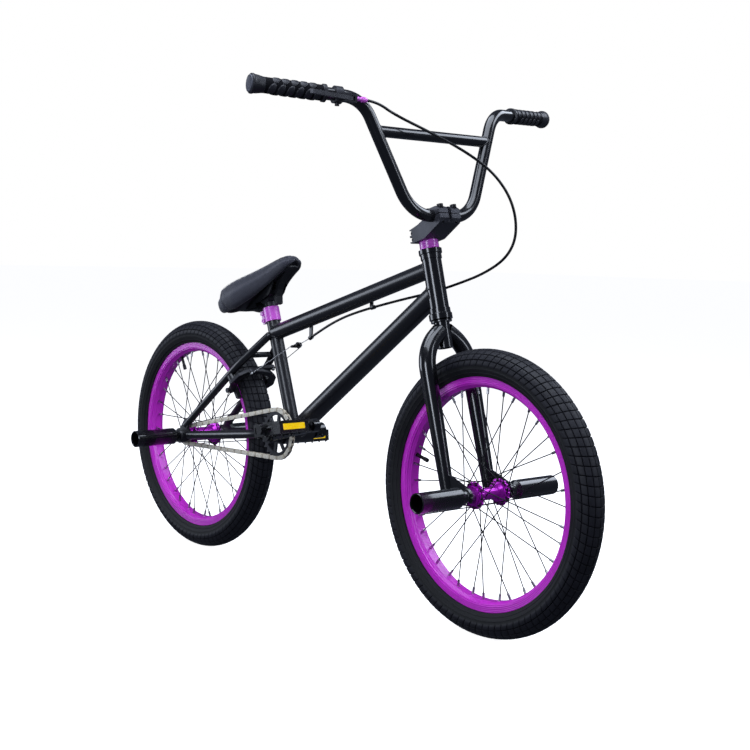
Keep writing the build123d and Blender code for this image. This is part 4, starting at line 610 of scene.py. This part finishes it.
def seam_line(a, b, rows):
    """Dense points along a line across the grid from (row, column) to (row, column)."""
    points = []
    steps = int(max(abs(b[0] - a[0]), abs(b[1] - a[1])) * 4) + 2
    for k in range(steps):
        s = k / (steps - 1)
        i, j = a[0] + (b[0] - a[0]) * s, (a[1] + (b[1] - a[1]) * s) % rows.shape[1]
        i0, j0 = int(min(i, rows.shape[0] - 2)), int(j)
        fi, fj = i - i0, j - j0
        j1 = (j0 + 1) % rows.shape[1]
        points.append(rows[i0, j0] * (1 - fi) * (1 - fj) + rows[i0 + 1, j0] * fi * (1 - fj)
                      + rows[i0, j1] * (1 - fi) * fj + rows[i0 + 1, j1] * fi * fj)
    return np.array(points)


def along_line(points, spacing):
    """Places and directions at even spacing on a polyline."""
    seg = np.linalg.norm(np.diff(points, axis=0), axis=1)
    total = np.concatenate([[0], np.cumsum(seg)])
    at = np.arange(spacing / 2, total[-1], spacing)
    place = np.stack([np.interp(at, total, points[:, k]) for k in range(3)], axis=-1)
    ahead = np.stack([np.interp(at + 0.3, total, points[:, k]) for k in range(3)], axis=-1)
    back = np.stack([np.interp(at - 0.3, total, points[:, k]) for k in range(3)], axis=-1)
    way = ahead - back
    return place, way / np.maximum(np.linalg.norm(way, axis=1, keepdims=True), 1e-9)


def surface_normals(rows):
    """Directions square to a closed surface given as a grid, pointing outwards."""
    along = np.gradient(rows, axis=0)
    around = np.roll(rows, -1, axis=1) - np.roll(rows, 1, axis=1)
    normal = np.cross(around, along)
    normal /= np.maximum(np.linalg.norm(normal, axis=-1, keepdims=True), 1e-9)
    middle = rows.mean(axis=1, keepdims=True)
    if ((rows - middle) * normal).sum() < 0:
        normal = -normal
    return normal


def stitch_mesh(places, ways, normals):
    """A row of short rounded threads lying on a surface, their ends sunk into it."""
    verts, faces = [], []
    sides = 6
    for p, w, n in zip(places, ways, normals):
        side = np.cross(n, w)
        base = len(verts)
        for s, r in STITCH_SHAPE:
            middle = p + w * s * STITCH_LENGTH - n * 0.35 * abs(s * 2) ** 3
            for q in range(sides):
                angle = q * math.pi / 3
                verts.append(middle + (side * math.cos(angle) + n * math.sin(angle)) * STITCH_RADIUS * r)
        faces += grid_faces(len(STITCH_SHAPE), sides, False, True, base)
        last = base + (len(STITCH_SHAPE) - 1) * sides
        faces.append(tuple(base + q for q in reversed(range(sides))))
        faces.append(tuple(last + q for q in range(sides)))
    return verts, faces


def make_saddle():
    """The sewn cover over its padding, with sunk seams and small folds, and the stitches beside the seams."""
    rows = saddle_sections()
    columns = (SEAM_SHARE * HALF_ROUND, -SEAM_SHARE * HALF_ROUND)
    lines = []
    for column in columns:
        side_column = math.copysign(SIDE_SHARE * HALF_ROUND, column)
        lines.append(seam_line((SEAM_START, column), (SEAM_STOP, column), rows))
        lines.append(seam_line((SIDE_START, column), (SIDE_STOP, side_column), rows))
    lines += [seam_line((NOSE_START, column), (NOSE_STOP, 0), rows) for column in columns]
    flat = rows.reshape(-1, 3)
    normals = surface_normals(rows).reshape(-1, 3)
    cloud = np.concatenate([along_line(line, SEAM_SAMPLE)[0] for line in lines])
    near = np.full(len(flat), 1e9)
    for start in range(0, len(cloud), SEAM_BATCH):
        gap = np.linalg.norm(flat[:, None, :] - cloud[None, start:start + SEAM_BATCH, :], axis=-1)
        near = np.minimum(near, gap.min(axis=1))
    puff = PUFF * (1 - np.exp(-(near / PUFF_REACH) ** 2)) - SEAM_SINK * np.exp(-(near / SEAM_REACH) ** 2)
    folds = FOLD * np.sin(flat[:, 0] * 0.35 + flat[:, 1] * 0.2) * np.exp(-(near / FOLD_REACH) ** 2)
    moved = (flat + normals * (puff + folds)[:, None]).reshape(rows.shape)
    tail = close_end(moved[0], -1, TAIL_DEPTH)
    nose = close_end(moved[-1], 1, NOSE_DEPTH)
    grid = np.concatenate([np.array(tail[::-1]), moved, np.array(nose)])
    verts = [saddle_point(*p) for p in grid.reshape(-1, 3)]
    faces = grid_faces(len(grid), ROUND, False, True)
    faces.append(tuple(range(ROUND)))
    faces.append(tuple((len(grid) - 1) * ROUND + k for k in reversed(range(ROUND))))
    cover = piece("saddle_skin", verts, faces, [CLOTH], "saddle")
    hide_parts("saddle_cover")
    verts, faces = [], []
    for line in lines:
        place, way = along_line(line, STITCH_PITCH)
        facing = normals[[int(np.argmin(((flat - p) ** 2).sum(axis=1))) for p in place]]
        aside = np.cross(facing, way) * STITCH_ASIDE
        made, quads = stitch_mesh(place + aside + facing * STITCH_LIFT, way, facing)
        faces += [tuple(v + len(verts) for v in q) for q in quads]
        verts += [saddle_point(*p) for p in made]
    piece("saddle_stitches", verts, faces, [THREAD], "saddle")


# ---------------------------------------------------------------- grips, in millimetres
GRIP_LENGTH = 0.137       # metres, from the inner collar to the bar's end
COLLAR_END = 6.0
COLLAR_RADIUS, COLLAR_EDGE_RADIUS = 15.6, 14.6
PADS_END = 112            # where the pads stop and the flare begins
FLARE_END = 130
FLARE_RADIUS, FLARE_RISE = 13.6, 2.4
PAD_ROWS = 4
PAD_START, PAD_PITCH, PAD_HALF_LENGTH = 9.0, 16.8, 7.2
PAD_HALF_ANGLE = 43       # degrees round the grip
PAD_SLANT = 0.30          # radians that a pad turns over half its length
PAD_SQUARE = 2.6          # 2 is an oval; higher is squarer
PAD_EDGE, CROWN_EDGE = 0.16, 0.8                  # shares of a pad over which its edge and its crown rise
GAP_RADIUS, PAD_RISE, PAD_CROWN = 13.5, 1.1, 0.55
PAINTED_SHADE_BELOW = 0.3           # a surface lower than this share of the pad's rise gets painted shade
RIB_PITCH, RIB_HEIGHT = 2.8, 0.3
# The flange at the grip's end: place along the grip, and radius there.
FLANGE = {131.5: 16.1, 132.2: 16.8, 133.2: 17.3, 135.6: 17.3, 136.8: 16.9, 137.4: 15.6}
PLUG_SHAPE = ((136.6, 15.0), (138.6, 14.9), (139.6, 14.2), (139.9, 13.2), (139.5, 12.6), (139.6, 4.0),
              (139.6, 0.01))
BORE_RADIUS = 11.15
GRIP_SIDES = 108


def bar_frame(sign):
    """Inner end of a grip, the bar's direction there, and two directions square to it."""
    end = BAR_CLAMP + Vector((-0.0924, sign * 0.363, 0.2083))
    out = (end - bar_top(sign)).normalized()
    forward = Vector((-out.y, out.x, 0)).normalized() * -sign
    up = out.cross(forward).normalized()
    return end - out * GRIP_LENGTH, out, forward, -up if up.z < 0 else up


def grip_radius(z, theta):
    """Grip surface: a collar, staggered slanting oval pads over ribbed gaps, and a flared end. Gives the
    radius, and 1 in the gaps, which get painted shade."""
    if z <= COLLAR_END:
        return (COLLAR_RADIUS if 0.5 < z < 5.6 else COLLAR_EDGE_RADIUS), 0
    if z < PADS_END:
        best = 0.0
        for row in range(PAD_ROWS):
            odd = row % 2
            along = z - PAD_START - (PAD_PITCH / 2 if odd else 0.0)
            k = round((along - PAD_PITCH / 2) / PAD_PITCH)
            if not 0 <= k <= (4 if odd else 5):
                continue
            u = (along - PAD_PITCH / 2 - PAD_PITCH * k) / PAD_HALF_LENGTH
            turned = theta - math.radians(90 * row + 35) - u * PAD_SLANT
            v = math.atan2(math.sin(turned), math.cos(turned)) / math.radians(PAD_HALF_ANGLE)
            best = max(best, 1 - (abs(u) ** PAD_SQUARE + abs(v) ** PAD_SQUARE) ** (1 / PAD_SQUARE))
        pad = ease(min(1.0, max(0.0, best / PAD_EDGE)))
        crown = PAD_CROWN * min(1.0, best / CROWN_EDGE)
        rib = RIB_HEIGHT * (1 - pad) * max(0.0, math.cos(2 * math.pi * z / RIB_PITCH))
        return GAP_RADIUS + PAD_RISE * pad + crown + rib, 1 if pad < PAINTED_SHADE_BELOW else 0
    if z <= FLARE_END:
        return FLARE_RADIUS + FLARE_RISE * ease((z - PADS_END) / (FLARE_END - PADS_END)), 0
    return FLANGE[z], 0


def make_grips():
    """Both grips and their end plugs as one piece."""
    verts, faces, indices = [], [], []
    steps = [0.0, 0.01, 0.6, 5.2, 5.9, 7.0] + [8 + 0.7 * k for k in range(149)]
    steps += [114, 117, 120, 123, 126, FLARE_END] + list(FLANGE)
    turns = [2 * math.pi * k / GRIP_SIDES for k in range(GRIP_SIDES)]
    plug_index = 2
    for sign in (-1, 1):
        start, out, forward, up = bar_frame(sign)

        def add(z, r, theta):
            turned = forward * math.cos(theta) + up * math.sin(theta)
            verts.append(start + out * (z / 1000) + turned * (r / 1000))

        first = len(verts)
        for row, z in enumerate(steps):
            for theta in turns:
                r, gap = (BORE_RADIUS, 0) if row == 0 else grip_radius(z, theta * sign)
                add(z, r, theta)
                if row < len(steps) - 1:
                    indices.append(gap)
        faces += grid_faces(len(steps), GRIP_SIDES, False, True, first)
        first = len(verts)
        for z, r in PLUG_SHAPE:
            for theta in turns:
                add(z, r, theta)
        faces += grid_faces(len(PLUG_SHAPE), GRIP_SIDES, False, True, first)
        indices += [plug_index] * ((len(PLUG_SHAPE) - 1) * GRIP_SIDES)
    # The gaps between the pads take the painted recess shade.
    made = piece("grip_pair", verts, faces, [GRIP, PAINTED_RECESS_SHADE, PLUG], "steering", 50, indices)
    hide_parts("grips")


# ---------------------------------------------------------------- brake cable housing
CABLE = [(-0.061, 0.005, 0.505), (-0.020, 0.007, 0.527), (0.031, 0.010, 0.549), (0.086, 0.0135, 0.5655),
         (0.142, 0.018, 0.5795), (0.196, 0.027, 0.593), (0.253, 0.038, 0.606), (0.311, 0.052, 0.625),
         (0.362, 0.066, 0.645), (0.402, 0.079, 0.672), (0.420, 0.086, 0.706), (0.423, 0.082, 0.748),
         (0.417, 0.066, 0.790), (0.400, 0.038, 0.829), (0.371, -0.002, 0.862), (0.330, -0.048, 0.893),
         (0.289, -0.097, 0.922)]
LEVER_AT = Vector((0.264493, -0.208637, 0.947568))
LEVER_UP = Vector((0.012473, 0.046523, 0.998839))
LEVER_OUT = Vector((-0.258652, -0.964769, 0.048166))
LEVER_AHEAD = Vector((0.96589, -0.258953, 0))
HOUSING_RADIUS = 0.0025
# Along the lever's barrel adjuster: where the housing enters it, and where its straight part ends.
ADJUSTER_END, STRAIGHT_END = 0.0262, 0.0504


def make_cable():
    """The brake housing as one smooth line curving from the frame up to the turning bar."""
    start = LEVER_AT + LEVER_AHEAD * 0.021 - LEVER_UP * 0.005 - LEVER_OUT * 0.023
    end = LEVER_AT + LEVER_AHEAD * 0.016 - LEVER_UP * 0.005 - LEVER_OUT * 0.049
    run = (end - start).normalized()
    points = [Vector(p) for p in CABLE] + [start + run * STRAIGHT_END, start + run * ADJUSTER_END]
    curve = bpy.data.curves.new("housing_line", "CURVE")
    curve.dimensions = "3D"
    line = curve.splines.new("NURBS")
    line.points.add(len(points) - 1)
    for point, place in zip(line.points, points):
        point.co = (*place, 1)
    line.order_u = 3
    line.use_endpoint_u = True
    line.resolution_u = 12
    curve.bevel_depth = HOUSING_RADIUS
    curve.bevel_resolution = 4
    curve.use_fill_caps = True
    holder = bpy.data.objects.new("housing_line", curve)
    bpy.context.scene.collection.objects.link(holder)
    bpy.context.view_layer.update()
    mesh = bpy.data.meshes.new_from_object(holder.evaluated_get(bpy.context.evaluated_depsgraph_get()))
    bpy.data.objects.remove(holder)
    mesh.name = "brake_housing"
    mesh.materials.clear()
    mesh.materials.append(SHEATH)
    mesh.shade_smooth()
    obj = bpy.data.objects.new("brake_housing", mesh)
    bpy.context.scene.collection.objects.link(obj)
    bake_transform(obj)
    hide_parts("brake_cable")


# ---------------------------------------------------------------- weld beads, in metres
TOP_TUBE_RADIUS = 0.0159
DOWN_TUBE_RADIUS = 0.019
SEAT_TUBE_RADIUS = 0.0143
HEAD_TUBE_RADIUS = 0.018
SHELL_RADIUS = 0.023
CROSSBAR_RADIUS = 0.010
FRAME_BEAD, SEAT_BEAD, BAR_BEAD = 0.0017, 0.0016, 0.0014
# Up the seat or head tube, and in front of its axis, to where the top and down tubes are joined.
TOP_TUBE_START, TOP_TUBE_END, DOWN_TUBE_END = (0.2157, 0.004), (0.087, -0.004), (0.0403, -0.004)
BAR_FOOT = 0.0743         # from the bike's middle to where the bar starts to rise
CROSSBAR_SHARE = 0.725    # how far up that rise the crossbar is
RIPPLE = 0.0034           # length of one ripple
BEAD_POINTS = 180
SIDEWAYS = Vector((0, 1, 0))


def weld_bead(centre, axis, radius, into_at, into_axis, into_radius, side=1):
    """Places of a weld bead where a tube meets another round tube, and None where it misses it."""
    axis, into_axis = Vector(axis).normalized(), Vector(into_axis).normalized()
    u = axis.orthogonal().normalized()
    v = axis.cross(u)
    line = []
    for k in range(BEAD_POINTS):
        theta = 2 * math.pi * k / BEAD_POINTS
        point = Vector(centre) + (u * math.cos(theta) + v * math.sin(theta)) * radius
        w = point - Vector(into_at)
        a = axis - into_axis * axis.dot(into_axis)
        b = w - into_axis * w.dot(into_axis)
        qa, qb, qc = a.dot(a), 2 * a.dot(b), b.dot(b) - into_radius ** 2
        root = qb * qb - 4 * qa * qc
        if root < 0:
            line.append(None)
            continue
        t = (-qb + side * math.sqrt(root)) / (2 * qa)
        line.append(point + axis * t)
    return line


def bead_mesh(line, size, verts, faces):
    """Adds a rippled bead along a line of places, broken where the line is."""
    runs, current = [line], []
    closed = all(p is not None for p in line)
    if not closed:
        runs = []
        start = next(i for i, p in enumerate(line) if p is None)
        for p in line[start:] + line[:start] + [None]:
            if p is not None:
                current.append(p)
                continue
            if len(current) > 3:
                runs.append(current)
            current = []
    sides = 8
    for run in runs:
        count = len(run)
        base = len(verts)
        distance = 0.0
        for k, p in enumerate(run):
            ahead = run[(k + 1) % count] if closed or k < count - 1 else p
            back = run[k - 1] if closed or k > 0 else p
            way = (ahead - back).normalized()
            distance += (p - back).length
            u = way.orthogonal().normalized() if k == 0 else (u - way * u.dot(way)).normalized()
            v = way.cross(u)
            r = size * (0.82 + 0.18 * abs(math.sin(distance / RIPPLE * math.pi)))
            for q in range(sides):
                angle = q * math.pi / 4
                verts.append(p + (u * math.cos(angle) + v * math.sin(angle)) * r)
        faces += grid_faces(count, sides, closed, True, base)


def make_welds():
    """Beads round the frame's joints, and where the crossbar meets the handlebar."""
    head_tube = (HEAD_AT, HEAD_UP, HEAD_TUBE_RADIUS)
    seat_tube = (BB, SEAT_UP, SEAT_TUBE_RADIUS)
    shell = (BB, SIDEWAYS, SHELL_RADIUS)
    top_start, top_end, down_end = seat(*TOP_TUBE_START), head(*TOP_TUBE_END), head(*DOWN_TUBE_END)
    top_way = (top_end - top_start).normalized()
    down_way = (down_end - BB).normalized()
    verts, faces = [], []
    for place, way, radius, into, side, size in (
            (top_end, top_way, TOP_TUBE_RADIUS, head_tube, -1, FRAME_BEAD),
            (top_start, top_way, TOP_TUBE_RADIUS, seat_tube, 1, FRAME_BEAD),
            (down_end, down_way, DOWN_TUBE_RADIUS, head_tube, -1, FRAME_BEAD),
            (BB, down_way, DOWN_TUBE_RADIUS, shell, 1, FRAME_BEAD),
            (BB, SEAT_UP, SEAT_TUBE_RADIUS, shell, 1, SEAT_BEAD)):
        bead_mesh(weld_bead(place, way, radius, *into, side=side), size, verts, faces)
    piece("frame_welds", verts, faces, [PAINT], "frame")
    verts, faces = [], []
    for sign in (-1, 1):
        base = BAR_CLAMP + Vector((0, sign * BAR_FOOT, 0))
        rise = bar_top(sign) - base
        across = Vector((0, sign, 0))
        at = base + rise * CROSSBAR_SHARE
        line = weld_bead(at, across, CROSSBAR_RADIUS, base, rise, BAR_TUBE_RADIUS, side=-1)
        bead_mesh(line, BAR_BEAD, verts, faces)
    piece("bar_welds", verts, faces, [GLOSS], "steering")


# ---------------------------------------------------------------- pedal reflectors
CRANK_LENGTH = 0.175
PEDAL_OUT = 0.163         # from the bike's middle to a pedal's
# side, word, the pedal's tilt and the crank's angle in degrees
PEDALS = ((-1, "right", 13.0, 13.0), (1, "left", 5.0, 193.0))
AMBER_CORNERS = ((1, 1, 0), (-1, 1, 90), (-1, -1, 180), (1, -1, 270))
AMBER_HALF_WIDTH, AMBER_HALF_HEIGHT, AMBER_ROUNDING = 23.6, 4.0, 1.8        # millimetres
# Distance from the pedal's middle in metres, and size in y and in z there.
AMBER_LAYERS = ((0.0385, 1.0, 1.0), (0.0399, 1.0, 1.0), (0.0403, 0.991, 0.97), (0.0403, 0.6, 0.6),
               (0.0405, 0.05, 0.05))


def amber_with_painted_glow():
    """Amber plastic with small prisms, and a painted glow."""
    mat, shader, tree = principled("amber_reflector_painted_glow")
    place = node(tree, "ShaderNodeTexCoord").outputs["Object"]
    cells = node(tree, "ShaderNodeTexVoronoi", Scale=420.0)
    tree.links.new(place, cells.inputs["Vector"])
    ramp = node(tree, "ShaderNodeValToRGB")
    ramp.color_ramp.elements[0].color = (1.0, 0.74, 0.02, 1)
    ramp.color_ramp.elements[1].color = (1.0, 0.50, 0.0, 1)
    tree.links.new(cells.outputs["Distance"], ramp.inputs["Fac"])
    tree.links.new(ramp.outputs["Color"], shader.inputs["Base Color"])
    relief = node(tree, "ShaderNodeBump", Strength=0.6, Distance=0.0008)
    tree.links.new(cells.outputs["Distance"], relief.inputs["Height"])
    tree.links.new(relief.outputs["Normal"], shader.inputs["Normal"])
    shader.inputs["Roughness"].default_value = 0.12
    shader.inputs["Coat Weight"].default_value = 0.8
    shader.inputs["Coat Roughness"].default_value = 0.03
    # Painted glow: a faint amber emission standing in for the light the reflector sends back.
    shader.inputs["Emission Color"].default_value = (1.0, 0.66, 0.0, 1)
    shader.inputs["Emission Strength"].default_value = 0.50
    return mat


def tilted(degrees):
    """A direction in the bike's plane, turned up from straight ahead."""
    return Vector((math.cos(math.radians(degrees)), 0, math.sin(math.radians(degrees))))


def make_reflectors():
    """Amber prism reflectors in the fore and aft rails of both pedals."""
    mat = amber_with_painted_glow()
    outline = []
    for cy, cz, first in AMBER_CORNERS:
        for k in range(5):
            a = math.radians(first + k * 22.5)
            outline.append((cy * AMBER_HALF_WIDTH + AMBER_ROUNDING * math.cos(a),
                            cz * AMBER_HALF_HEIGHT + AMBER_ROUNDING * math.sin(a)))
    for side, word, tilt, turn in PEDALS:
        centre = BB + tilted(turn) * CRANK_LENGTH + Vector((0, side * PEDAL_OUT, 0))
        ahead = tilted(tilt)
        up = Vector((-ahead.z, 0, ahead.x))
        verts, faces = [], []
        for end in (-1, 1):
            base = len(verts)
            for depth, size_y, size_z in AMBER_LAYERS:
                for y, z in outline:
                    across = Vector((0, y * size_y / 1000, 0))
                    verts.append(centre + ahead * end * depth + across + up * z * size_z / 1000)
            quads = grid_faces(len(AMBER_LAYERS), len(outline), False, True, base)
            faces += quads if end > 0 else [tuple(reversed(q)) for q in quads]
        piece(f"reflectors_{word}", verts, faces, [mat], f"pedal_{word}_body", 40)


make_camera()
make_light()
make_floor()
dress_nodes()
make_tyre("front_tyre_carcass", FRONT, "front_wheel")
make_tyre("rear_tyre_carcass", REAR, "rear_wheel")
make_saddle()
make_grips()
make_cable()
make_welds()
make_reflectors()
